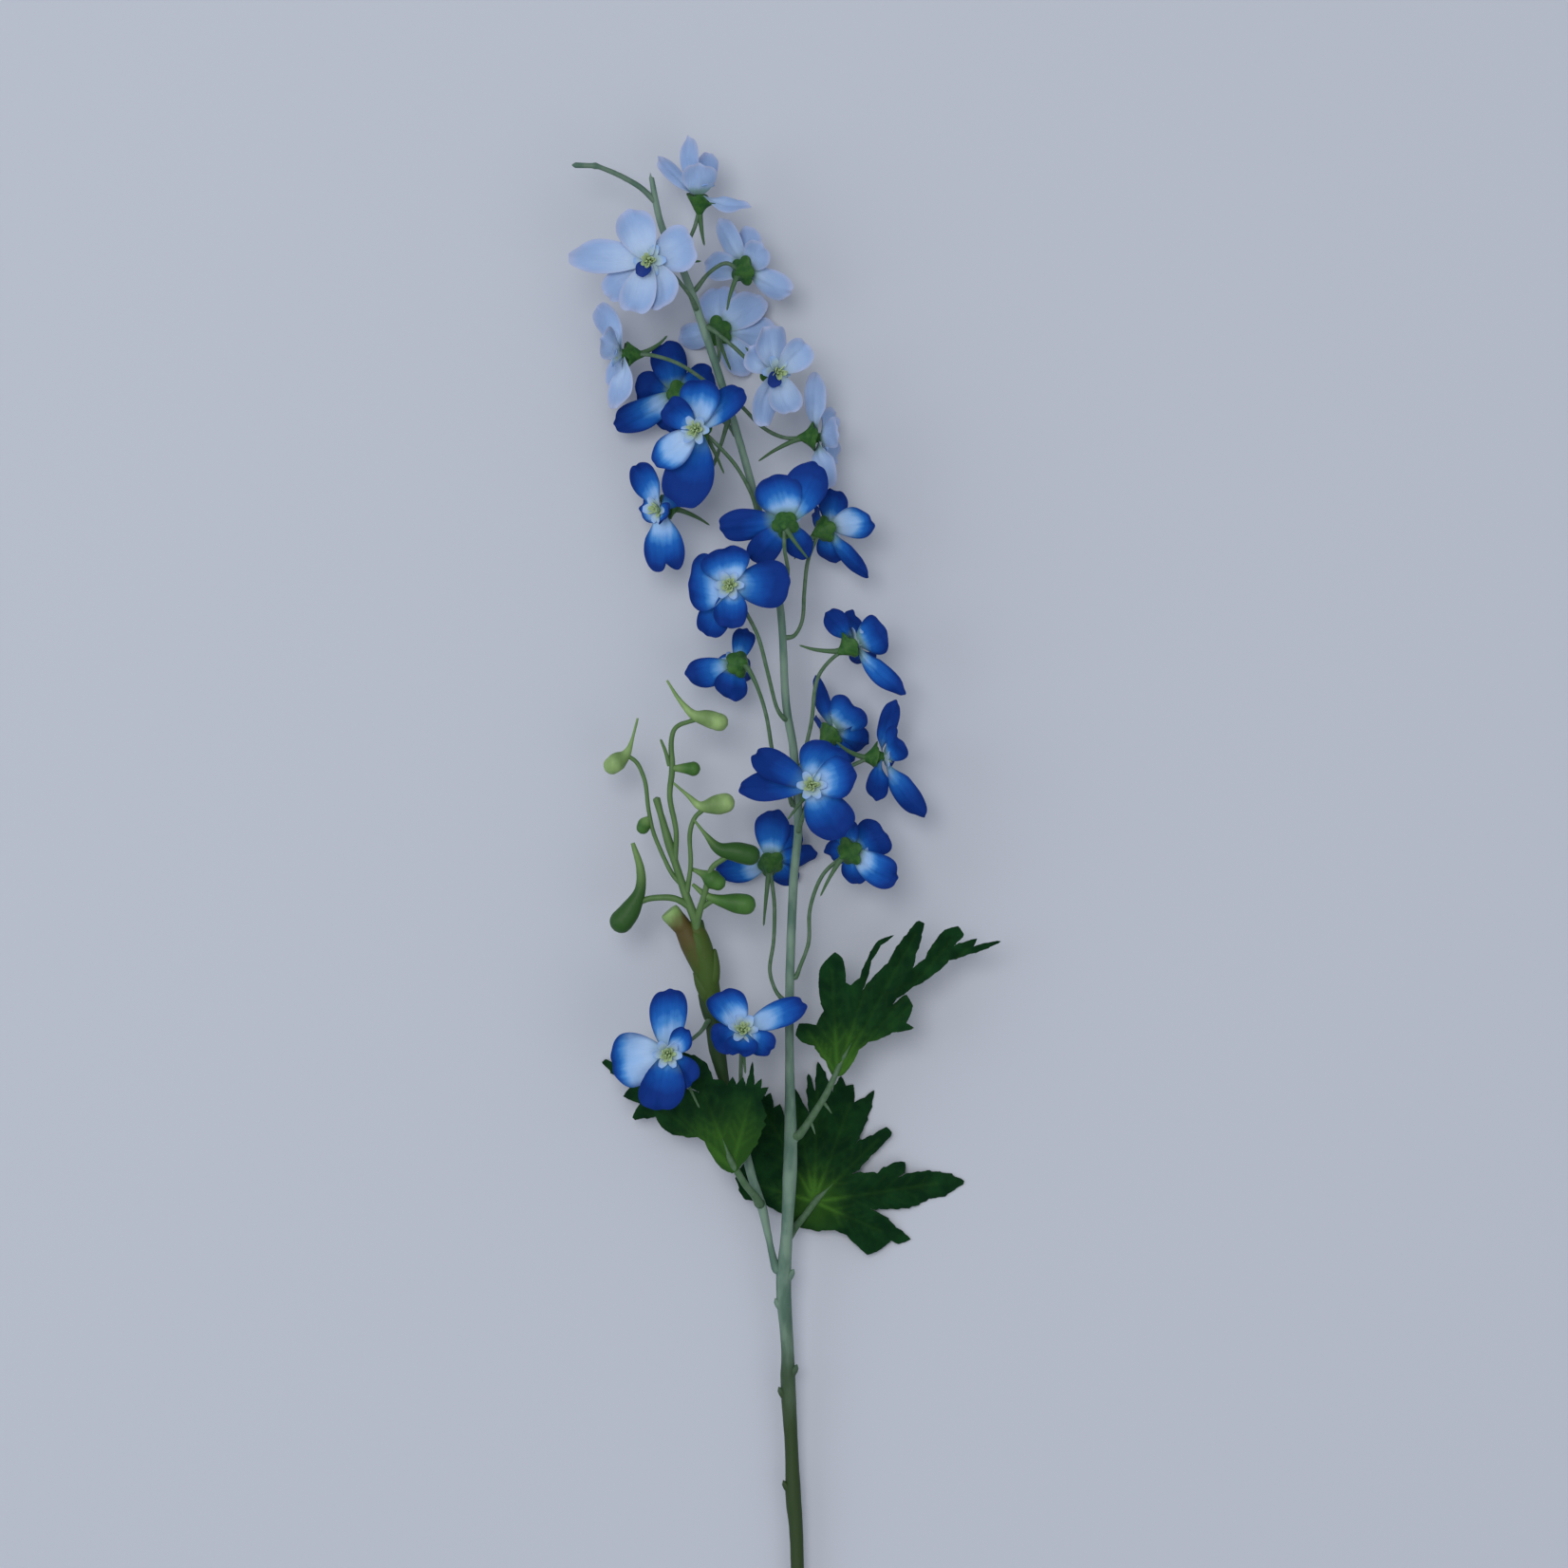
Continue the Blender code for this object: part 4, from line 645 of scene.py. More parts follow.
def stemPaint():
    paint = Paint("stem coating", Roughness=0.6, Specular_IOR_Level=0.3)
    look = stemColours
    spot = paint.add("ShaderNodeTexCoord", output="Object")
    upward = paint.add("ShaderNodeSeparateXYZ", {}, {"Vector": spot}, 1)  # metres along y
    mottle = paint.cloud(160.0, 3.0, (1.0, 0.35, 1.0))
    green = paint.blend(paint.smooth(mottle, 0.35, 0.65), look["dull"], look["pale"])
    edge = upward + (mottle - 0.5) * 0.03
    depth = paint.smooth(0.0 - edge, -look["darkenFrom"], -look["darkenTo"])
    green = paint.blend(depth, green, look["foot"])
    # Tone 1 is the dark upper part of the side branch; 2, 3 and 4 are its sheath
    tone = paint.attribute("tone") + (mottle - 0.5) * 0.5
    green = paint.blend(paint.smooth(tone, 0.1, 0.9), green, look["shade"])
    green = paint.blend(paint.smooth(tone, 1.1, 1.9), green, look["olive"])
    green = paint.blend(paint.smooth(tone, 2.1, 2.9), green, look["brown"])
    green = paint.blend(paint.smooth(tone, 3.2, 3.8), green, look["lip"])
    paint.feed("Base Color", green)
    paint.relief(paint.cloud(900.0, 4.0, (1.0, 0.2, 1.0)), 0.0004, 0.5)
    return paint.material


greenColours = dict(
    stalk=(0.090, 0.150, 0.095), calyx=(0.015, 0.080, 0.013), lobeEdge=(0.040, 0.125, 0.022),
)


def greenPaint():
    # Tone 0 is a stalk or spur, 1 the calyx
    paint = Paint("calyx and stalk", Roughness=0.55, Specular_IOR_Level=0.25)
    look = greenColours
    mottle = paint.smooth(paint.cloud(420.0, 3.0), 0.3, 0.7)
    cup = paint.blend(mottle, look["calyx"], look["lobeEdge"])
    stalk = paint.blend(mottle * 0.5, look["stalk"], look["calyx"])
    paint.feed("Base Color", paint.blend(paint.attribute("tone"), stalk, cup))
    paint.relief(paint.cloud(1100.0, 3.0), 0.0003, 0.5)
    return paint.material


budColours = dict(
    stalk=(0.080, 0.160, 0.050), light=(0.270, 0.410, 0.150), middle=(0.050, 0.145, 0.024),
    dark=(0.018, 0.075, 0.009), spur=(0.150, 0.260, 0.085),
)


def budPaint():
    # Tone 0 is a stalk; 1, 2 and 3 are light, middle and dark buds
    paint = Paint("bud green", Roughness=0.5, Specular_IOR_Level=0.3)
    look = budColours
    tone = paint.attribute("tone")
    colour = paint.blend(paint.smooth(tone, 0.0, 1.0), look["stalk"], look["light"])
    colour = paint.blend(paint.smooth(tone, 1.0, 2.0), colour, look["middle"])
    colour = paint.blend(paint.smooth(tone, 2.0, 3.0), colour, look["dark"])
    # The spur of a bud is paler at its tip, and its neck darker than the bulb
    along = paint.attribute("along")
    isBud = paint.smooth(tone, 0.2, 0.8)
    spur = isBud * paint.smooth(0.0 - along, -0.42, -0.12)
    colour = paint.blend(spur * 0.8, colour, look["spur"])
    neck = isBud * paint.smooth(along, 0.30, 0.50) * paint.smooth(0.0 - along, -0.72, -0.52)
    colour = paint.blend(neck * 0.45, colour, look["dark"])
    shade = paint.smooth(paint.cloud(260.0, 3.0, (1.0, 0.5, 1.0)), 0.3, 0.7)
    colour = paint.blend(shade * 0.3, colour, look["dark"])
    paint.feed("Base Color", colour)
    paint.relief(paint.cloud(800.0, 3.0), 0.0003, 0.5)
    return paint.material


leafColours = dict(
    blade=(0.0016, 0.020, 0.0056), blotch=(0.0048, 0.036, 0.0085), heart=(0.018, 0.066, 0.009),
    vein=(0.050, 0.145, 0.018),
)


def leafPaint():
    paint = Paint("leaf cloth", Roughness=0.75, Specular_IOR_Level=0.07)
    look = leafColours
    cloud = paint.cloud(130.0, 4.0)
    blade = paint.blend(paint.smooth(cloud, 0.35, 0.7), look["blade"], look["blotch"])
    heart = paint.smooth(paint.attribute("heart") + (cloud - 0.5) * 0.5, 0.15, 0.95)
    blade = paint.blend(heart, blade, look["heart"])
    vein = paint.attribute("vein") * (heart * 0.85 + 0.12)
    paint.feed("Base Color", paint.blend(vein, blade, look["vein"]))
    paint.relief(paint.cloud(1500.0, 3.0), 0.0002, 0.5)
    return paint.material


petalColours = dict(
    base=(0.15, 0.29, 0.22),
    pale=dict(
        rim=(0.40, 0.44, 0.62), rimShare=0.65, spread=0.75,
        stops=[  # from the heart outwards
            (0.00, (0.44, 0.55, 0.73)), (0.35, (0.35, 0.48, 0.70)),
            (0.60, (0.26, 0.385, 0.63)), (1.00, (0.25, 0.35, 0.57)),
        ],
    ),
    dark=dict(
        rim=(0.0008, 0.019, 0.155), rimShare=0.75, spread=1.0,
        stops=[
            (0.00, (0.37, 0.53, 0.77)), (0.32, (0.25, 0.44, 0.75)),
            (0.46, (0.060, 0.240, 0.59)), (0.58, (0.008, 0.108, 0.43)),
            (0.78, (0.0020, 0.058, 0.31)), (1.00, (0.0008, 0.028, 0.20)),
        ],
    ),
)


def petalPaint(tone):
    # Along runs from root to tip, across from side to side, edge from middle to rim
    paint = Paint("petal cloth " + tone, Roughness=0.75, Specular_IOR_Level=0.15)
    look = petalColours[tone]
    along, across = paint.attribute("along"), paint.attribute("across")
    edge, heart = paint.attribute("edge"), paint.attribute("heart")
    tint, back = paint.attribute("tint"), paint.attribute("back")
    own = paint.add("ShaderNodeCombineXYZ", {},
                    {"X": across * 2.6, "Y": along * 0.8, "Z": tint * 9.0})
    streaks = paint.add("ShaderNodeTexNoise", {}, {"Vector": own, "Scale": 2.0, "Detail": 3.0})
    cloud = paint.cloud(85.0, 3.0)
    wander = (streaks - 0.5) * 0.16 + (cloud - 0.5) * 0.40
    far = along + wander + edge * edge * 0.20 - heart + back * 0.06
    ramp = paint.add("ShaderNodeValToRGB", {"stops": look["stops"]},
                     {"Fac": far * look["spread"] + 0.46})
    brink = paint.smooth(edge + wander * 0.6 + along * 0.10, 0.74, 1.12)
    colour = paint.blend(brink * look["rimShare"], ramp, look["rim"])
    root = paint.smooth(0.30 - along + wander * 0.5, 0.0, 0.25) * (0.25 + back * 0.55)
    paint.feed("Base Color", paint.blend(root, colour, petalColours["base"]))
    veins = paint.add("ShaderNodeTexNoise", {}, {"Vector": own, "Scale": 6.0, "Detail": 2.0})
    paint.relief(paint.cloud(2600.0, 2.0) * 0.3 + veins, 0.0005, 0.45)
    return paint.material


eyeColours = dict(
    outer=(0.36, 0.49, 0.56), outerTip=(0.25, 0.41, 0.72), inner=(0.38, 0.50, 0.27),
    throat=(0.19, 0.33, 0.10), bee=(0.006, 0.030, 0.20),
)


def eyePaint():
    # Tone 0 is a small outer petal, 1 an inner one or a stamen, 2 the dark bee petal
    paint = Paint("eye", Roughness=0.6, Specular_IOR_Level=0.2)
    look = eyeColours
    along, tone = paint.attribute("along"), paint.attribute("tone")
    outer = paint.blend(paint.smooth(along, 0.45, 1.0), look["outer"], look["outerTip"])
    inner = paint.blend(paint.smooth(along, 0.0, 0.6), look["throat"], look["inner"])
    colour = paint.blend(paint.smooth(tone, 0.0, 1.0), outer, inner)
    paint.feed("Base Color", paint.blend(paint.smooth(tone, 1.2, 1.8), colour, look["bee"]))
    paint.relief(paint.cloud(1500.0, 2.0), 0.0002, 0.5)
    return paint.material


paints = dict(
    stem=stemPaint(), green=greenPaint(), bud=budPaint(), leaf=leafPaint(),
    pale=petalPaint("pale"), dark=petalPaint("dark"), eye=eyePaint(),
)
print("finishes made")


# Main stem, side branch and bud sprig

carriers = dict(stem=smoothLine(stemLine, 1), branch=smoothLine(branchLine, 1))

stemLook = dict(
    tube=dict(sides=20, spacing=1.4, unevenness=0.16, grain=150.0, seed=2.0), shootTone=0.35,
    knobRadii=(1.725, 1.5, 1.05), knobLean=(0.25, 0.35),
    knobs=[  # place along y and side of each, from the photo's small bumps
        (-122.4, -1), (-150.8, 1), (-160.4, -1), (-200.4, -1), (-51.0, 1), (-110.0, 1),
    ],
)


def stemKnob(place, side):
    # Short scar of a cut-off shoot, leaning towards the tip
    centre, radius, direction = nearestOn(carriers["stem"], (0.0, place))
    out = Vector((side, *stemLook["knobLean"])).normalized()
    line = [
        centre + out * (radius * 0.4) - direction * 2.0,
        centre + out * (radius + 0.1),
        centre + out * (radius + 1.0) + direction * 1.6,
    ]
    return roundEnd([Vector((*point, thick)) for point, thick in zip(line, stemLook["knobRadii"])])


def makeStem():
    look = stemLook
    lines = [roundEnd(carriers["stem"]), roundEnd(smoothLine(tipShoot, 3))]
    lines += [stemKnob(place, side) for place, side in look["knobs"]]
    tones = [0.0, look["shootTone"]] + [0.0] * len(look["knobs"])
    data = tubesAlong("mainStem", lines, paints["stem"], tones, **look["tube"])
    settle(joined("mainStem", [data]), "stem", "main_stem")


branchLook = dict(
    tube=dict(sides=24, spacing=0.6, unevenness=0.2, grain=160.0, seed=5.0), flare=1.4,
    tones=[(-62.0, 0.0), (-46.0, 1.0), (-4.0, 1.1), (12.0, 2.0), (30.0, 2.2)],  # y and tone
    lipTones=(2.5, 4.9),
    scales=[  # tones at both ends of an old scale, then its line
        # Fork of the sheath
        (2.0, 1.0, [(-35.6, 26, 26.8, 3.2), (-37.4, 36, 28, 3.2), (-37.2, 40.5, 28.6, 2.2)]),
        # Ragged ends on the branch
        (1.9, 1.6, [(-31.8, 3.6, 24.6, 1), (-33.6, 9, 25.6, 3), (-36.4, 14.4, 26, 2.5),
                    (-38.8, 19, 26.4, 0.9)]),
        (1.2, 1.2, [(-30.6, -6, 23.6, 1), (-32.2, 0, 24.6, 2.8), (-34.6, 5, 25.2, 2.1),
                    (-36.8, 9.8, 25.6, 0.8)]),
        (1.0, 1.0, [(-28.2, -18, 22.6, 1), (-29.8, -12, 23.4, 2.4), (-31.4, -7.4, 24, 1.8),
                    (-33.6, -2.2, 24.4, 0.7)]),
        (2.0, 1.5, [(-31.2, 9, 26, 1), (-31, 16, 27, 2.6), (-30.4, 22, 27.4, 2.2),
                    (-30.4, 28.6, 27.8, 0.8)]),
        # Filling between the fork and the lip
        (2.0, 3.2, [(-33.6, 14, 25, 2.2), (-35.8, 21, 26.2, 4.2), (-39.4, 30.4, 27.2, 5.2),
                    (-43.6, 38.2, 28, 4)]),
        (2.0, 2.5, [(-34.8, 22, 26.4, 3), (-36.8, 31, 27.4, 4.8), (-38.6, 39.4, 28.4, 2.9)]),
    ],
)


def makeBranch():
    look = branchLook
    line = rootedLine(carriers["stem"], branchRoot, branchLine, look["flare"])
    lines = [roundEnd(smoothLine(line, 2)), smoothLine(sheathLip, 3)]
    tones = [np.interp([point[1] for point in lines[0]], *zip(*look["tones"])),
             np.linspace(*look["lipTones"], len(lines[1]))]
    for start, stop, scale in look["scales"]:
        lines.append(roundEnd(smoothLine(scale, 3)))
        tones.append(np.linspace(start, stop, len(lines[-1])))
    data = tubesAlong("sideBranch", lines, paints["stem"], tones, **look["tube"])
    settle(joined("sideBranch", [data]), "stem", "side_branch")


sprigLook = dict(
    tube=dict(sides=20, spacing=0.55, unevenness=0.12, grain=200.0, seed=7.0),
    budTones=[3.0, 1.0, 2.0, 1.0, 2.0, 1.0, 3.0, 2.0, 2.0],
    budEnd=(25, 45, 62, 76, 86),  # degrees round the half ball that closes a bud
)


def budLine(points):
    # Smooth line with half a ball round its last point
    *spur, last = [Vector(point) for point in points]
    away = (last.to_3d() - spur[-1].to_3d()).normalized()
    line = smoothLine([*spur, last], 4)
    for degrees in sprigLook["budEnd"]:
        turn = math.radians(degrees)
        centre = last.to_3d() + away * (last[3] * math.sin(turn))
        line.append(Vector((*centre, last[3] * math.cos(turn))))
    return line


def makeSprig():
    lines = [roundEnd(smoothLine(stalk, 3)) for stalk in sprigStalks]
    tones = [0.0] * len(lines) + sprigLook["budTones"]
    lines += [budLine(bud) for bud in sprigBuds]
    data = tubesAlong("budSprig", lines, paints["bud"], tones, **sprigLook["tube"])
    settle(joined("budSprig", [data]), "buds", "bud_sprig")


makeStem()
makeBranch()
makeSprig()
print("stem, branch and sprig made")


# Leaves: a fine cloth blade over the same outline, with raised veins

leafLook = dict(
    thickness=0.45, lowest=0.02, creaseWidth=6.0, gridStep=1.0, gridJitter=0.15,
    rimStep=0.55, rimJitter=0.08, bulge=0.04, toothLength=5.2, toothRise=0.78, toothFall=0.22,
    stalkRadii=[1.7, 1.5, 1.4, 1.1], runOut=[(3.0, 0.85), (6.0, 0.5), (10.0, 0.15)], flare=1.25,
    sideVeinPlaces=[0.28, 0.42, 0.56, 0.70, 0.84], sideVeinTurn=0.65, sideVeinLength=0.34,
    veinWidth=0.55, veinDepth=0.45, crumple=0.35, crumpleWaves=5, stalkTone=0.12,
    tube=dict(spacing=0.9),
)


def unit(rows):
    return rows / np.linalg.norm(rows, axis=-1, keepdims=True)


def segmentDistance(points, starts, stops):
    # Smallest distance of each point to any of the segments
    best = np.full(len(points), 1e9)
    for start, stop in zip(starts, stops):
        span = stop - start
        share = np.clip((points - start) @ span / (span @ span), 0, 1)
        best = np.minimum(best, np.linalg.norm(points - start - share[:, None] * span, axis=1))
    return best


def leafHeight(leaf, points, ribs):
    offset = points - leaf["base"]
    reach = max(math.dist(point, leaf["base"]) for point in leaf["outline"])
    share = np.linalg.norm(offset, axis=1) / reach
    turn = np.arctan2(offset[:, 1], offset[:, 0])
    wave = leaf["ripple"] * np.sin(leaf["rippleCount"] * turn) * share
    crease = (leaf["fold"] * np.minimum(ribs / leafLook["creaseWidth"], 1)
              * np.minimum(3 * share, 1))
    return leaf["height"] + offset @ leaf["slope"] + wave + crease - leaf["droop"] * share ** 2


def fineRim(leaf, chance):
    # Outline in short steps with small teeth between its corners
    look = leafLook
    corners = [np.array(point) for point in leaf["outline"]]
    rim = []
    for start, stop in zip(corners, corners[1:] + corners[:1]):
        span = stop - start
        length = math.hypot(*span)
        outward = np.array((-span[1], span[0])) / length
        teeth = max(round(length / look["toothLength"]), 1)
        forward = math.dist(stop, leaf["base"]) > math.dist(start, leaf["base"])
        depths = chance.uniform(0.1, 1.0, teeth + 1) * leaf["teeth"]
        steps = max(round(length / look["rimStep"]), 2)
        for step in range(steps):
            share = step / steps
            # Teeth rise slowly and drop fast, away from the leaf's base
            saw = (share * teeth) % 1.0
            saw = saw if forward else 1.0 - saw
            rising = saw < look["toothRise"]
            saw = saw / look["toothRise"] if rising else (1.0 - saw) / look["toothFall"]
            bulge = look["bulge"] * length * math.sin(math.pi * share)
            tooth = depths[int(share * teeth)] * saw ** 1.3 if teeth > 1 and step else 0.0
            noise = chance.uniform(-look["rimJitter"], look["rimJitter"]) if step else 0.0
            rim.append(start + span * share + outward * (bulge + tooth + noise))
    return rim


def slabFaces(faces, count):
    # Both faces of a blade and the wall round its rim
    border = {}
    for face in faces:
        for here, after in zip(face, (*face[1:], face[0])):
            border[(here, after)] = True
    walls = [(after, here, here + count, after + count)
             for here, after in border if (after, here) not in border]
    under = [tuple(corner + count for corner in reversed(face)) for face in faces]
    return [tuple(face) for face in faces] + under + walls


def leafSheet(leaf, chance):
    # Flat triangles inside the fine rim
    rim = fineRim(leaf, chance)
    if sum(a[0] * b[1] - b[0] * a[1] for a, b in zip(rim, rim[1:] + rim[:1])) < 0:
        rim.reverse()
    low, high = np.min(rim, axis=0), np.max(rim, axis=0)
    step, jitter = leafLook["gridStep"], leafLook["gridJitter"]
    grid = [(x + step * 0.5 * (row % 2), y)
            for row, y in enumerate(np.arange(low[1], high[1], step * 0.87))
            for x in np.arange(low[0], high[0], step)]
    grid = np.array(grid) + chance.uniform(-jitter, jitter, (len(grid), 2)) * step
    starts = np.array(rim)
    grid = grid[segmentDistance(grid, starts, np.roll(starts, -1, axis=0)) > 0.45 * step]
    flat, _, faces, _, _, _ = delaunay_2d_cdt(
        [Vector(point) for point in [*rim, *grid]], [], [list(range(len(rim)))], 1, 1e-5)
    return np.array([tuple(point) for point in flat]), faces


def leafVeins(flat, base, tips):
    # Distance to the midribs, and how near each point is to any vein
    look = leafLook
    ribs = segmentDistance(flat, [base] * len(tips), tips)
    starts, stops = [], []
    for tip in tips:
        for place in look["sideVeinPlaces"]:
            for turn in (-look["sideVeinTurn"], look["sideVeinTurn"]):
                span = (tip - base) * look["sideVeinLength"] * (1.15 - place)
                bent = np.array((span[0] * math.cos(turn) - span[1] * math.sin(turn),
                                 span[0] * math.sin(turn) + span[1] * math.cos(turn)))
                starts.append(base + (tip - base) * place)
                stops.append(base + (tip - base) * place + bent)
    sideVeins = segmentDistance(flat, starts, stops)
    width = look["veinWidth"]
    return ribs, np.maximum(np.exp(-(ribs / (1.5 * width)) ** 2),
                            0.55 * np.exp(-(sideVeins / width) ** 2))


def leafStalk(leaf, base, tips):
    # The stalk runs out on the midrib that carries on its line
    stalk = [(*point, radius) for point, radius in zip(leaf["stalk"], leafLook["stalkRadii"])]
    last, before = np.array(leaf["stalk"][-1][:2]), np.array(leaf["stalk"][-2][:2])
    ahead = max((unit(tip - base) for tip in tips), key=lambda way: way @ (last - before))
    for distance, radius in leafLook["runOut"]:
        point = last + ahead * distance
        stalk.append((*point, leafHeight(leaf, point[None], np.zeros(1))[0] + 0.1, radius))
    line = rootedLine(carriers[leaf["carrier"]], leaf["root"], stalk, leafLook["flare"])
    return roundEnd(smoothLine(line, 4))


def makeLeaf(leaf, seed):
    look = leafLook
    chance = np.random.default_rng(seed)
    base, tips = np.array(leaf["base"]), [np.array(rib) for rib in leaf["ribs"]]
    flat, faces = leafSheet(leaf, chance)
    ribs, vein = leafVeins(flat, base, tips)
    heart = np.exp(-(np.linalg.norm(flat - base, axis=1) / leaf["heart"]) ** 2)
    waves = sum(
        np.sin(flat @ chance.uniform(-0.75, 0.75, 2) + chance.uniform(0, 6.3))
        for _ in range(look["crumpleWaves"])
    ) * look["crumple"] / 2
    height = leafHeight(leaf, flat, ribs) + waves - look["veinDepth"] * vein
    half = 0.5 * look["thickness"]
    under = np.maximum(height - half, look["lowest"])
    over = np.maximum(height + half, under + 2 * half)
    points = np.vstack([np.column_stack([flat, over]), np.column_stack([flat, under])])
    blade = meshOf(leaf["name"], points, slabFaces(faces, len(flat)), paints["leaf"],
                   vein=np.tile(vein * leaf["veins"], 2), heart=np.tile(heart, 2))
    stalk = leafStalk(leaf, base, tips)
    spikes = [roundEnd(spike) for spike in leaf.get("spikes", [])]
    # The stalk turns from stalk green to leaf green before it runs out
    tone = np.interp(np.linspace(0, 1, len(stalk)), (0.70, 0.92), (look["stalkTone"], 1.0))
    tones = [tone] + [look["stalkTone"]] * len(spikes)
    stem = tubesAlong(leaf["name"], [stalk, *spikes], paints["green"], tones,
                      seed=float(seed), **look["tube"])
    settle(joined(leaf["name"], [blade, stem]), "leaf", leaf["node"])


for number, leaf in enumerate(leaves):
    makeLeaf(leaf, 40 + number)
print("leaves made")


# Florets: cloth petals, calyx with spur and stalk, and the small eye in the middle

petalLook = dict(
    thickness=0.34, lowest=0.03, bowl=0.09, overCup=0.30, underCup=-0.06, claw=0.30, widest=0.62,
    start=1.7, rootRadius=3.0, clawRows=15, capRows=10, columns=19, usualWidth=14, ruffle=0.95,
    crumple=0.26, crease=0.50, creaseWidth=0.9, uneven=0.03, layer=0.36, curl=0.8,
    curls=(-1.0, 0.6), turnedBy=0.4, slimWidth=13.0, slimRange=5.0, slimTip=0.16,
    tipSpread=(-0.09, 0.03), lean=0.10,
)


def petalWidth(along):
    # Share of the full width: a narrow claw, widest past the middle
    rise = np.sin(0.5 * np.pi * np.clip(along / petalLook["widest"], 0, 1)) ** 0.9
    return petalLook["claw"] + (1 - petalLook["claw"]) * rise


def petalGrid():
    # Flat petal: along and lateral share of each point, and its nearness to the rim
    look = petalLook
    columns = np.linspace(-1, 1, look["columns"])
    clawPart = np.linspace(0, 1, look["clawRows"], endpoint=False)
    capPart = np.linspace(0, 1, look["capRows"])
    along, lateral, edge = [], [], []
    for share in clawPart:
        along.append(np.full_like(columns, share * look["widest"]))
        lateral.append(columns)
        edge.append(np.abs(columns))
    for share in capPart:
        # A square sheet drawn onto half a disc, so that the round tip has no pinched point
        x = columns * np.sqrt(1 - share ** 2 / 2)
        y = share * np.sqrt(1 - columns ** 2 / 2)
        along.append(look["widest"] + (1 - look["widest"]) * y)
        lateral.append(x)
        edge.append(np.hypot(x, y))
    return np.array(along), np.array(lateral), np.array(edge)


gridAlong, gridLateral, gridEdge = petalGrid()


def gridFaces(rows, columns):
    return [(row * columns + column, (row + 1) * columns + column,
             (row + 1) * columns + column + 1, row * columns + column + 1)
            for row in range(rows - 1) for column in range(columns - 1)]


petalFaces = slabFaces(gridFaces(*gridAlong.shape), gridAlong.size)


def petalAxes(reach, turned, show):
    # Root, and for each row of the grid the directions along, across and out of the petal's face
    out = unit(np.array((reach[0], reach[1], 0.0)))
    root = out * petalLook["rootRadius"]
    ahead = unit(reach - root)
    front = np.cross(ahead, unit(np.cross((0.0, 0.0, 1.0), ahead)))
    # Some petals of a floret seen from its side turn their face to the viewer past the claw
    viewer = np.array((0.0, 0.0, 1.0)) @ turned
    viewer = viewer - ahead * (viewer @ ahead)
    viewer *= np.sign(viewer @ front) or 1.0
    share = show * np.clip(gridAlong[:, :1] / petalLook["turnedBy"], 0, 1)
    front = unit((1 - share) * front + share * viewer)
    return root, np.cross(front, ahead), front


def petalOrder(reaches, index):
    # How many petals lie lower, and the cup of each side: up over a lower neighbour, else flat
    turns = np.arctan2(reaches[:, 1], reaches[:, 0])
    slopes = reaches[:, 2] / np.hypot(reaches[:, 0], reaches[:, 1])
    gaps = (turns - turns[index]) % (2 * np.pi)
    others = [number for number in range(len(reaches)) if number != index]
    after = min(others, key=lambda number: gaps[number])
    before = max(others, key=lambda number: gaps[number])
    cups = [petalLook["overCup" if slopes[index] > slopes[number] else "underCup"]
            for number in (before, after)]
    return int(np.sum(slopes < slopes[index])), cups


def petalRise(half, length, width, cups, chance):
    # Height of the cloth over the straight line from root to tip, with all its waves
    look = petalLook
    phase = chance.uniform(0, 2 * np.pi, 4)
    around = np.arctan2(gridLateral, gridAlong - 0.35)
    across = gridLateral * half
    free = np.clip(gridAlong * 2, 0, 1)
    rise = np.where(gridLateral < 0, *cups) * half * gridLateral ** 2
    rise -= look["bowl"] * length * np.sin(np.pi * gridAlong)
    ruffle = look["ruffle"] * width / look["usualWidth"] * gridEdge ** 3
    rise += ruffle * np.clip(1.5 * gridAlong - 0.3, 0, 1) * (
        0.7 * np.sin(4 * around + phase[0]) + 0.4 * np.sin(7 * around + phase[1]))
    rise += look["crumple"] * free * (np.sin(across * 0.55 + gridAlong * 5.5 + phase[2])
                                      + np.sin(across * 0.40 - gridAlong * 8.0 + phase[3]))
    # The crease down the middle fades in past the claw and out before the tip
    rise -= (look["crease"] * np.exp(-(across / look["creaseWidth"]) ** 2)
             * np.clip(3.2 * gridAlong, 0, 1) * np.clip(2.4 * (1 - gridAlong), 0, 1))
    past = np.clip(gridAlong - 0.6, 0, 1)
    return rise + look["curl"] * chance.uniform(*look["curls"]) * past ** 2 * length * 0.5


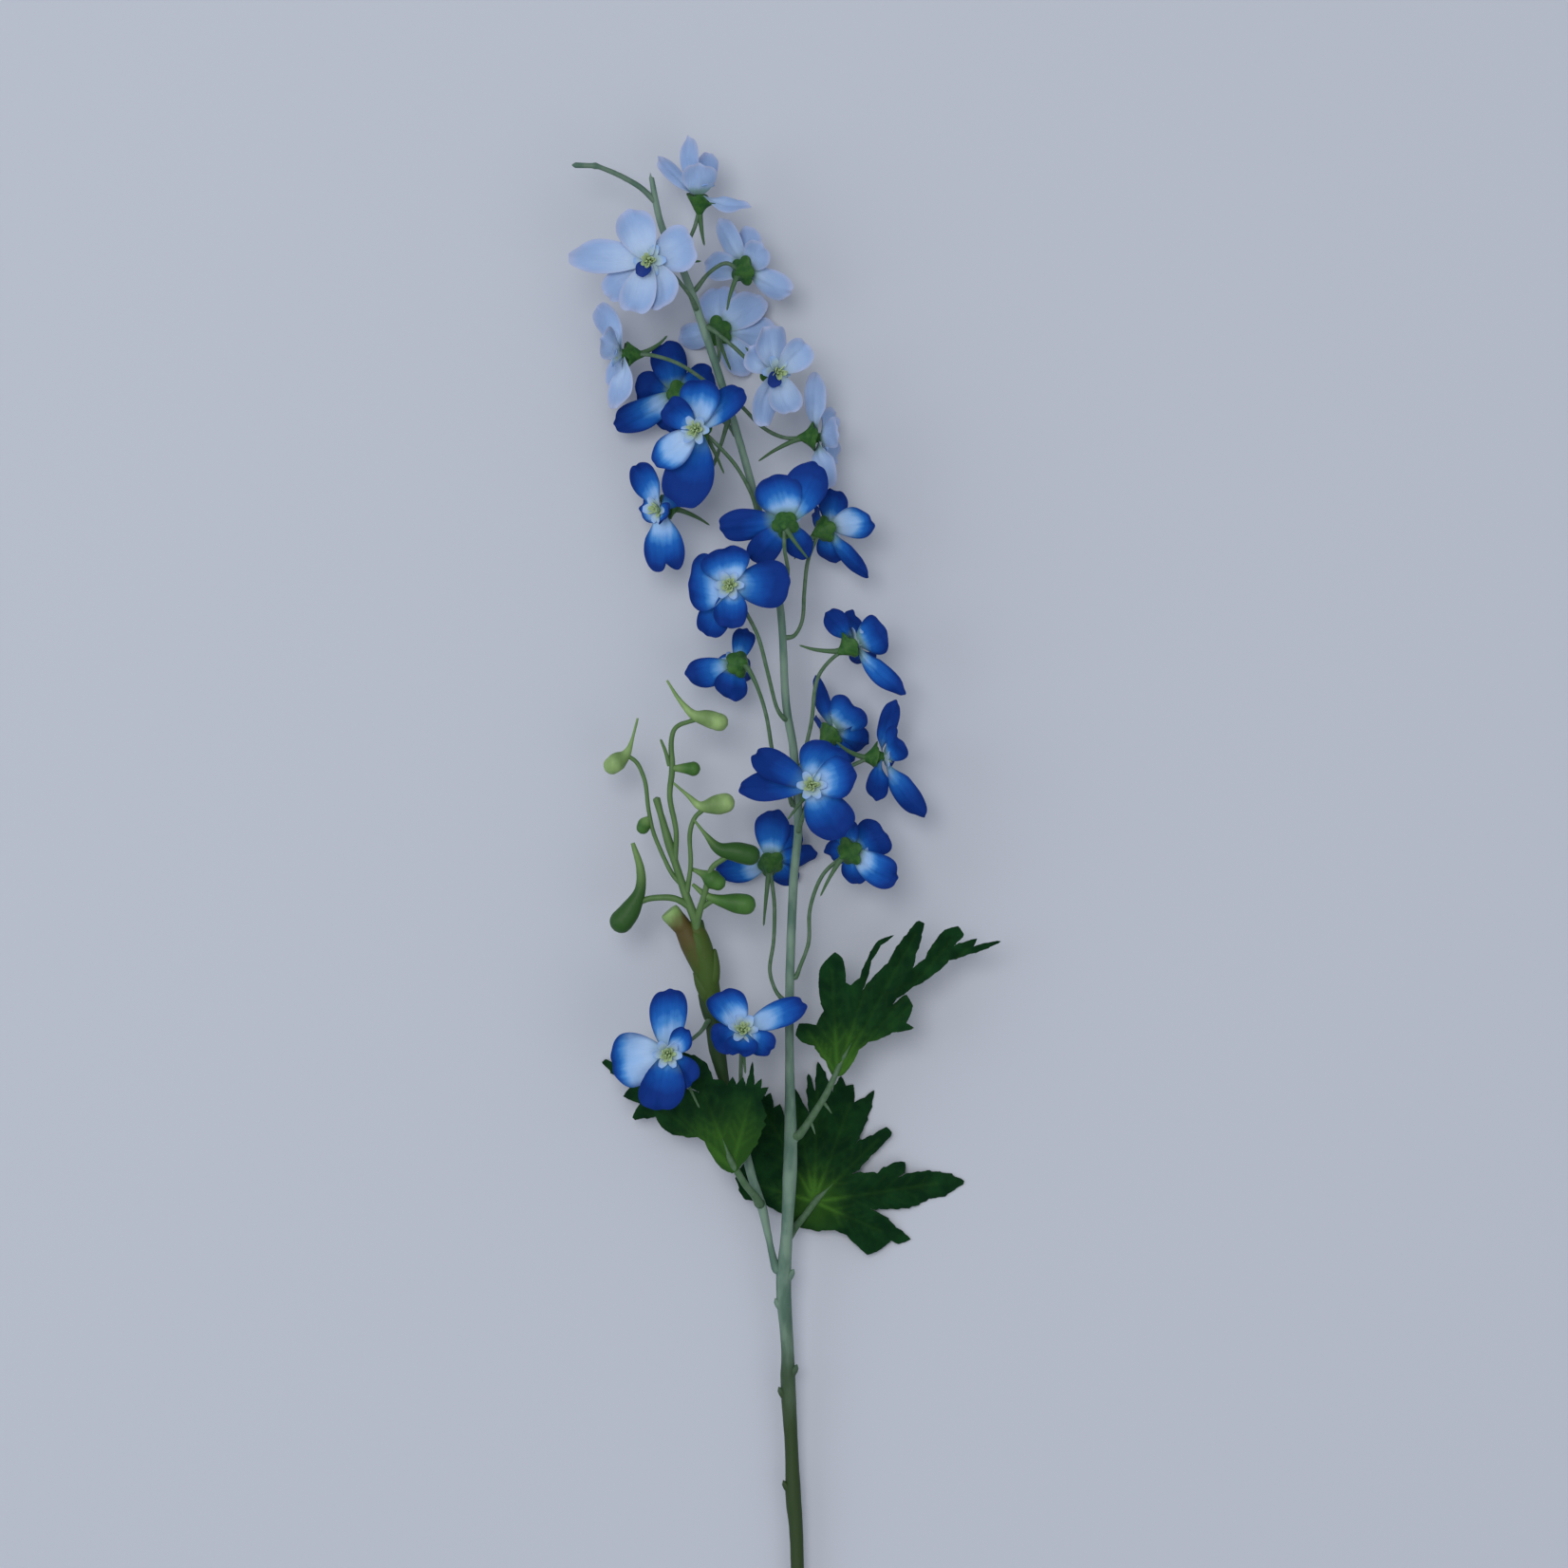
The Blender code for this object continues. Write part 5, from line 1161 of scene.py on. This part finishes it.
def petalMesh(floret, index, place, chance):
    # One closed cloth blade in the spray's frame, in millimetres
    look = petalLook
    *tipPlace, width, heart = floret["petals"][index]
    turned = np.array(place.to_3x3())
    reach = np.array(tipPlace) @ turned  # into the floret's own axes
    root, side, front = petalAxes(reach, turned, floret.get("show", 0.0))
    length = np.linalg.norm(reach - root)
    phase = chance.uniform(0, 2 * np.pi, 2)
    around = np.arctan2(gridLateral, gridAlong - 0.35)
    uneven = 1 + look["uneven"] * gridEdge ** 3 * (
        np.sin(3 * around + phase[0]) + 0.5 * np.sin(7 * around + phase[1]))
    # Narrow petals end in a point, broad ones are round or slightly notched
    slim = min(max((look["slimWidth"] - width) / look["slimRange"], 0.0), 1.0)
    tip = look["slimTip"] * slim + chance.uniform(*look["tipSpread"])
    tip = floret.get("tips", {}).get(index, tip)
    cap = np.clip((gridAlong - look["widest"]) / (1 - look["widest"]), 0, 1)
    along = gridAlong * (1 + (uneven - 1) * 0.7)
    along = along + tip * (1 - look["widest"]) * cap ** 2 * (1 - 2.2 * np.abs(gridLateral))
    half = 0.5 * width * petalWidth(gridAlong) * uneven
    reaches = np.array([petal[:3] for petal in floret["petals"]]) @ turned
    order, cups = petalOrder(reaches, index)
    rise = petalRise(half, length, width, cups, chance)
    lean = chance.uniform(-look["lean"], look["lean"])
    across = gridLateral * half + lean * length * along ** 2
    begin = root * look["start"] / look["rootRadius"]
    points = (begin + np.multiply.outer(along, reach - begin)
              + across[..., None] * side[:, None] + rise[..., None] * front[:, None])
    points[..., 2] += look["layer"] * order * (1 - gridAlong ** 2)
    normal = unit(np.cross(np.gradient(points, axis=0), np.gradient(points, axis=1)))
    shift = normal * (0.5 * look["thickness"] * (1 - 0.5 * gridEdge ** 6))[..., None]
    centre = np.array(place.translation)
    over = (points + shift).reshape(-1, 3) @ turned.T + centre
    under = (points - shift).reshape(-1, 3) @ turned.T + centre
    lift = np.maximum(look["lowest"] - np.minimum(over[:, 2], under[:, 2]), 0.0)
    over[:, 2] += lift
    under[:, 2] += lift
    layers = {"along": gridAlong, "across": gridLateral * petalWidth(gridAlong), "edge": gridEdge}
    layers = {label: np.tile(values.ravel(), 2) for label, values in layers.items()}
    return meshOf("petal", np.vstack([over, under]), petalFaces, paints[floret["tone"]],
                  heart=heart, tint=chance.uniform(0, 1),
                  back=np.repeat([0.0, 1.0], gridAlong.size), **layers)


calyxLook = dict(
    lobes=5, sides=90, point=0.95, hug=0.85, reach=4.0, shortest=0.25,
    profile=[  # height, lobe radius, valley radius
        (-8.8, 0.0, 0.0), (-8.8, 0.8, 0.8), (-8.0, 1.25, 1.25), (-6.9, 1.8, 1.8),
        (-5.7, 2.6, 2.5), (-4.7, 3.5, 3.2), (-3.9, 4.5, 3.9), (-3.3, 5.5, 4.4),
        (-2.9, 6.4, 4.7), (-2.6, 7.0, 4.8), (-2.3, 6.9, 4.7), (-2.3, 6.0, 4.3),
        (-2.1, 4.8, 3.7), (-1.7, 3.6, 3.1), (-1.0, 2.7, 2.6), (0.0, 2.1, 2.1),
        (0.9, 1.8, 1.8), (1.5, 1.3, 1.3), (1.8, 0.0, 0.0),
    ],
)
stalkLook = dict(
    stalkRadius=0.85, stalkEnd=-5.0, flare=1.35, spurRadii=[1.5, 1.15, 0.75, 0.4],
    spurStart=-3.4, spurBend=-6.5, spurLean=0.12, spurSag=1.2, spurTone=0.35,
    tube=dict(sides=10, spacing=0.9, unevenness=0.09),
)


def petalSlope(floret, place, angles):
    # Rise of the petals over their reach, blended round the floret's axis
    turned = np.array(place.to_3x3())
    reaches = np.array([petal[:3] for petal in floret["petals"]]) @ turned
    toward = np.arctan2(reaches[:, 1], reaches[:, 0])
    slopes = np.clip(reaches[:, 2] / np.hypot(reaches[:, 0], reaches[:, 1]), -1.3, 1.0)
    shares = np.exp(5.0 * (np.cos(angles[:, None] - toward) - 1.0) - 1.2 * slopes)
    return shares @ slopes / shares.sum(axis=1)


def calyxMesh(floret, place, chance):
    # Funnel round the floret's axis, its rim drawn out into five uneven lobes that lie
    # along the backs of the petals
    look = calyxLook
    angles = np.linspace(0, 2 * np.pi, look["sides"], endpoint=False)
    swing = (angles + chance.uniform(0, 1.2)) * look["lobes"] / (2 * np.pi)
    sizes = chance.uniform(look["shortest"], 1.0, look["lobes"])
    lobe = sizes[np.floor(swing).astype(int) % look["lobes"]]
    lobe = lobe * np.sin(np.pi * (swing % 1.0)) ** look["point"]
    slope = petalSlope(floret, place, angles)
    points, along = [], []
    for index, (height, far, near) in enumerate(look["profile"]):
        if far == 0.0:
            points.append((0.0, 0.0, height))
            along.append(0.0)
            continue
        radius = near + (far - near) * lobe
        lift = look["hug"] * slope * np.clip(radius - look["reach"] + 1.5, 0, None)
        lift += 0.08 * (far - near) * lobe * np.sin(3 * angles + index)
        for angle, value, raised in zip(angles, radius, lift):
            points.append((value * math.cos(angle), value * math.sin(angle), height + raised))
            along.append(1.0)
    sides = look["sides"]
    rings = len(look["profile"]) - 2
    faces = [(0, 1 + (side + 1) % sides, 1 + side) for side in range(sides)]
    for ring in range(rings - 1):
        first = 1 + ring * sides
        for side in range(sides):
            after = (side + 1) % sides
            faces.append((first + side, first + after,
                          first + sides + after, first + sides + side))
    last = 1 + rings * sides
    first = last - sides
    faces += [(last, first + side, first + (side + 1) % sides) for side in range(sides)]
    moved = [place @ Vector(point) for point in points]
    return meshOf("calyx", moved, faces, paints["green"], along=along, tone=1.0)


def makeStalk(floret, place, chance):
    look = stalkLook
    cup = place @ Vector((0.0, 0.0, look["stalkEnd"]))
    points = [(*point, look["stalkRadius"]) for point in [*floret["stalk"], cup]]
    carrier = carriers[floret.get("carrier", "stem")]
    stalk = smoothLine(rootedLine(carrier, floret["root"], points, look["flare"]), 5)
    tip = place.to_3x3().inverted() @ Vector(floret["spur"])
    bend = Vector((0.0, 0.0, look["spurBend"])) + look["spurLean"] * tip
    halfWay = bend.lerp(tip, 0.5) - Vector((0.0, 0.0, look["spurSag"]))
    spur = [Vector((0.0, 0.0, look["spurStart"])), bend, halfWay, tip]
    spur = [Vector((*(place @ point), radius)) for point, radius in zip(spur, look["spurRadii"])]
    lines = [stalk, roundEnd(smoothLine(spur, 5))]
    data = tubesAlong("stalk", lines, paints["green"], [0.0, look["spurTone"]],
                      seed=float(floret["number"]), **look["tube"])
    meshes = [calyxMesh(floret, place, chance), data]
    piece = joined("stalk%02d" % floret["number"], meshes, sharpness=60.0)
    settle(piece, "calyx", "floret_%02d_stalk" % floret["number"])


def makePetals(floret, place, chance):
    meshes = [petalMesh(floret, index, place, chance) for index in range(len(floret["petals"]))]
    piece = joined("petals%02d" % floret["number"], meshes, sharpness=60.0)
    slot = "petal_pale" if floret["tone"] == "pale" else "petal_deep"
    settle(piece, slot, "floret_%02d_petals" % floret["number"])


# Eye: three whorls of small blades round three pistils, and a dark bee petal in two florets

eyeLook = dict(
    whorls=[
        dict(count=6, radius=1.5, lift=1.0, tilt=0.72, length=5.6, width=4.0, loose=0.28, seed=1),
        dict(count=7, radius=1.0, lift=1.1, tilt=1.20, length=4.0, width=2.4, loose=0.45, seed=2),
        dict(count=9, radius=0.6, lift=1.2, tilt=1.40, length=3.3, width=0.9, loose=0.50, seed=3),
    ],
    blade=dict(rows=9, columns=5, half=0.14, cup=0.35, droop=0.9),
    pistils=dict(
        radius=0.5, places=[(0.0, 0.5), (0.45, -0.25), (-0.45, -0.2)],
        steps=[(1.0, 0.4), (1.2, 2.0), (1.8, 3.6)],  # spread and height
        tube=dict(sides=8, spacing=0.4, unevenness=0.05),
    ),
    bee=dict(width=6.8, length=6.2, start=1.4, lift=2.2, tilt=0.66, around=0.30),
)


def whorlTree():
    bench, given = newTree("whorl of blades", {
        "Count": ("Int", 6),
        "Radius": ("Float", 0.001),
        "Lift": ("Float", 0.001),
        "Tilt": ("Float", 1.0),
        "Loose": ("Float", 0.2),
        "Seed": ("Int", 0),
        "Material": ("Material", None),
    })
    ring = bench.add("GeometryNodeMeshCircle", {},
                     {"Vertices": given["Count"], "Radius": given["Radius"]})
    lift = bench.add("ShaderNodeCombineXYZ", {}, {"Z": given["Lift"]})
    ring = bench.add("GeometryNodeSetPosition", {}, {"Geometry": ring, "Offset": lift})
    index = bench.add("GeometryNodeInputIndex")
    turn = index * (2 * math.pi) / given["Count"] - math.pi / 2
    chance = bench.add("FunctionNodeRandomValue", {"data_type": "FLOAT"},
                       {"Min": -1.0, "Max": 1.0, "Seed": given["Seed"]}, 1)
    chance = chance * given["Loose"]
    tilt = given["Tilt"] + chance
    angles = bench.add("ShaderNodeCombineXYZ", {},
                       {"X": tilt, "Y": chance, "Z": turn + chance * 0.6})
    size = bench.add("FunctionNodeRandomValue", {"data_type": "FLOAT"},
                     {"Min": 0.82, "Max": 1.15, "Seed": given["Seed"]}, 1)
    blades = bench.add("GeometryNodeInstanceOnPoints", {}, {
        "Points": ring, "Instance": given["Geometry"], "Rotation": angles, "Scale": size})
    return endTree(bench, blades, given["Material"])


whorls = whorlTree()


def inMetres(place):
    moved = place.copy()
    moved.translation = place.translation * mm
    return moved


def bladeMesh(whorl, tone):
    # Small cupped blade along y, closed, for the eye
    look = eyeLook["blade"]
    shares, sides = np.linspace(0, 1, look["rows"]), np.linspace(-1, 1, look["columns"])
    along, lateral = np.meshgrid(shares, sides, indexing="ij")
    belly = np.sin(np.pi * np.clip(along * 0.88 + 0.04, 0, 1)) ** 0.8
    half = 0.5 * whorl["width"] * (0.25 + 0.75 * belly)
    fall = look["droop"] * whorl["width"] / 3 * along ** 2
    rise = look["cup"] * half * lateral ** 2 - fall
    points = np.dstack([lateral * half, along * whorl["length"], rise])
    normal = unit(np.dstack([-look["cup"] * lateral, 0.5 * along, np.ones_like(along)]))
    top, bottom = points + normal * look["half"], points - normal * look["half"]
    faces = [tuple(reversed(face)) for face in gridFaces(look["rows"], look["columns"])]
    return meshOf("blade", np.vstack([top.reshape(-1, 3), bottom.reshape(-1, 3)]),
                  slabFaces(faces, along.size), along=np.tile(along.ravel(), 2), tone=tone)


def makeEye(floret, place):
    pistils, bee = eyeLook["pistils"], eyeLook["bee"]
    lines = []
    for x, y in pistils["places"]:
        line = [place @ Vector((spread * x, spread * y, height))
                for spread, height in pistils["steps"]]
        lines.append(roundEnd([Vector((*point, pistils["radius"])) for point in line]))
    meshes = [tubesAlong("pistils", lines, paints["eye"], [1.0] * len(lines), **pistils["tube"])]
    if "bee" in floret:
        data = bladeMesh(bee, 2.0)
        data.materials.append(paints["eye"])
        spot = (Matrix.Rotation(floret["bee"] - math.pi / 2, 4, "Z")
                @ Matrix.Translation((0.0, bee["start"] * mm, bee["lift"] * mm))
                @ Matrix.Rotation(bee["tilt"], 4, "X"))
        data.transform(inMetres(place) @ spot)
        meshes.append(data)
    for number, whorl in enumerate(eyeLook["whorls"]):
        host = bpy.data.objects.new("whorl", bladeMesh(whorl, min(number, 1)))
        data = grown(host, whorls, {
            "Count": whorl["count"],
            "Radius": whorl["radius"] * mm,
            "Lift": whorl["lift"] * mm,
            "Tilt": bee["around"] if "bee" in floret and number == 0 else whorl["tilt"],
            "Loose": whorl["loose"],
            "Seed": whorl["seed"] + 10 * floret["number"],
            "Material": paints["eye"],
        })
        data.transform(inMetres(place))
        meshes.append(data)
    settle(joined("eye%02d" % floret["number"], meshes), "petal_pale")


for floret in florets:
    chance = np.random.default_rng(100 + floret["number"])
    turn = Vector((0.0, 0.0, 1.0)).rotation_difference(Vector(floret["facing"]).normalized())
    place = Matrix.Translation(Vector(floret["centre"])) @ turn.to_matrix().to_4x4()
    makePetals(floret, place, chance)
    makeStalk(floret, place, chance)
    makeEye(floret, place)
print("florets made")


# Floor, light and camera, looking straight down on the spray

view = dict(  # in metres
    middle=(-0.0012, 0.0984), subjectHeight=0.027, distance=2.4, width=0.6608, sensor=36.0,
    floorDrop=0.0003, floorSize=5.0, floorColour=(0.485, 0.515, 0.580, 1.0),
    skyColour=(0.88, 0.92, 1.0, 1.0), skyStrength=0.50, aim=(0.0, 0.1, 0.02),
)
lights = [  # name, place, size, power and colour
    ("key", (-0.84, 0.95, 4.2), 2.2, 70.0, (1.0, 0.99, 0.97)),
    ("side", (-3.0, 0.4, 1.8), 2.4, 24.0, (0.84, 0.88, 1.0)),
    ("fill", (1.8, -1.4, 3.2), 2.8, 16.0, (1.0, 0.98, 0.95)),
]


def makeFloor():
    paint = Paint("pale floor", Roughness=0.9, Base_Color=view["floorColour"])
    half = 0.5 * view["floorSize"] / mm
    corners = [(-half, -half, 0), (half, -half, 0), (half, half, 0), (-half, half, 0)]
    floor = bpy.data.objects.new("floor", meshOf("floor", corners, [(0, 1, 2, 3)], paint.material))
    floor.location.z = -view["floorDrop"]
    bpy.context.scene.collection.objects.link(floor)


def makeLight(name, place, size, power, colour):
    lamp = bpy.data.lights.new(name, "AREA")
    lamp.color = colour
    lamp.shape = "DISK"
    lamp.size = size
    lamp.energy = power
    light = bpy.data.objects.new(name, lamp)
    light.location = place
    aim = Vector(view["aim"]) - light.location
    light.rotation_euler = aim.to_track_quat("-Z", "Y").to_euler()
    bpy.context.scene.collection.objects.link(light)


def makeCamera():
    lens = bpy.data.cameras.new("camera")
    lens.sensor_width = view["sensor"]
    lens.lens = view["sensor"] * view["distance"] / view["width"]
    lens.clip_start, lens.clip_end = 0.05, 20.0
    camera = bpy.data.objects.new("camera", lens)
    camera.location = (*view["middle"], view["subjectHeight"] + view["distance"])
    bpy.context.scene.collection.objects.link(camera)
    bpy.context.scene.camera = camera


def makeWorld():
    world = bpy.data.worlds.new("studio")
    world.use_nodes = True
    background = world.node_tree.nodes["Background"]
    background.inputs["Color"].default_value = view["skyColour"]
    background.inputs["Strength"].default_value = view["skyStrength"]
    bpy.context.scene.world = world


makeFloor()
for light in lights:
    makeLight(*light)
makeCamera()
makeWorld()
print("stage made")
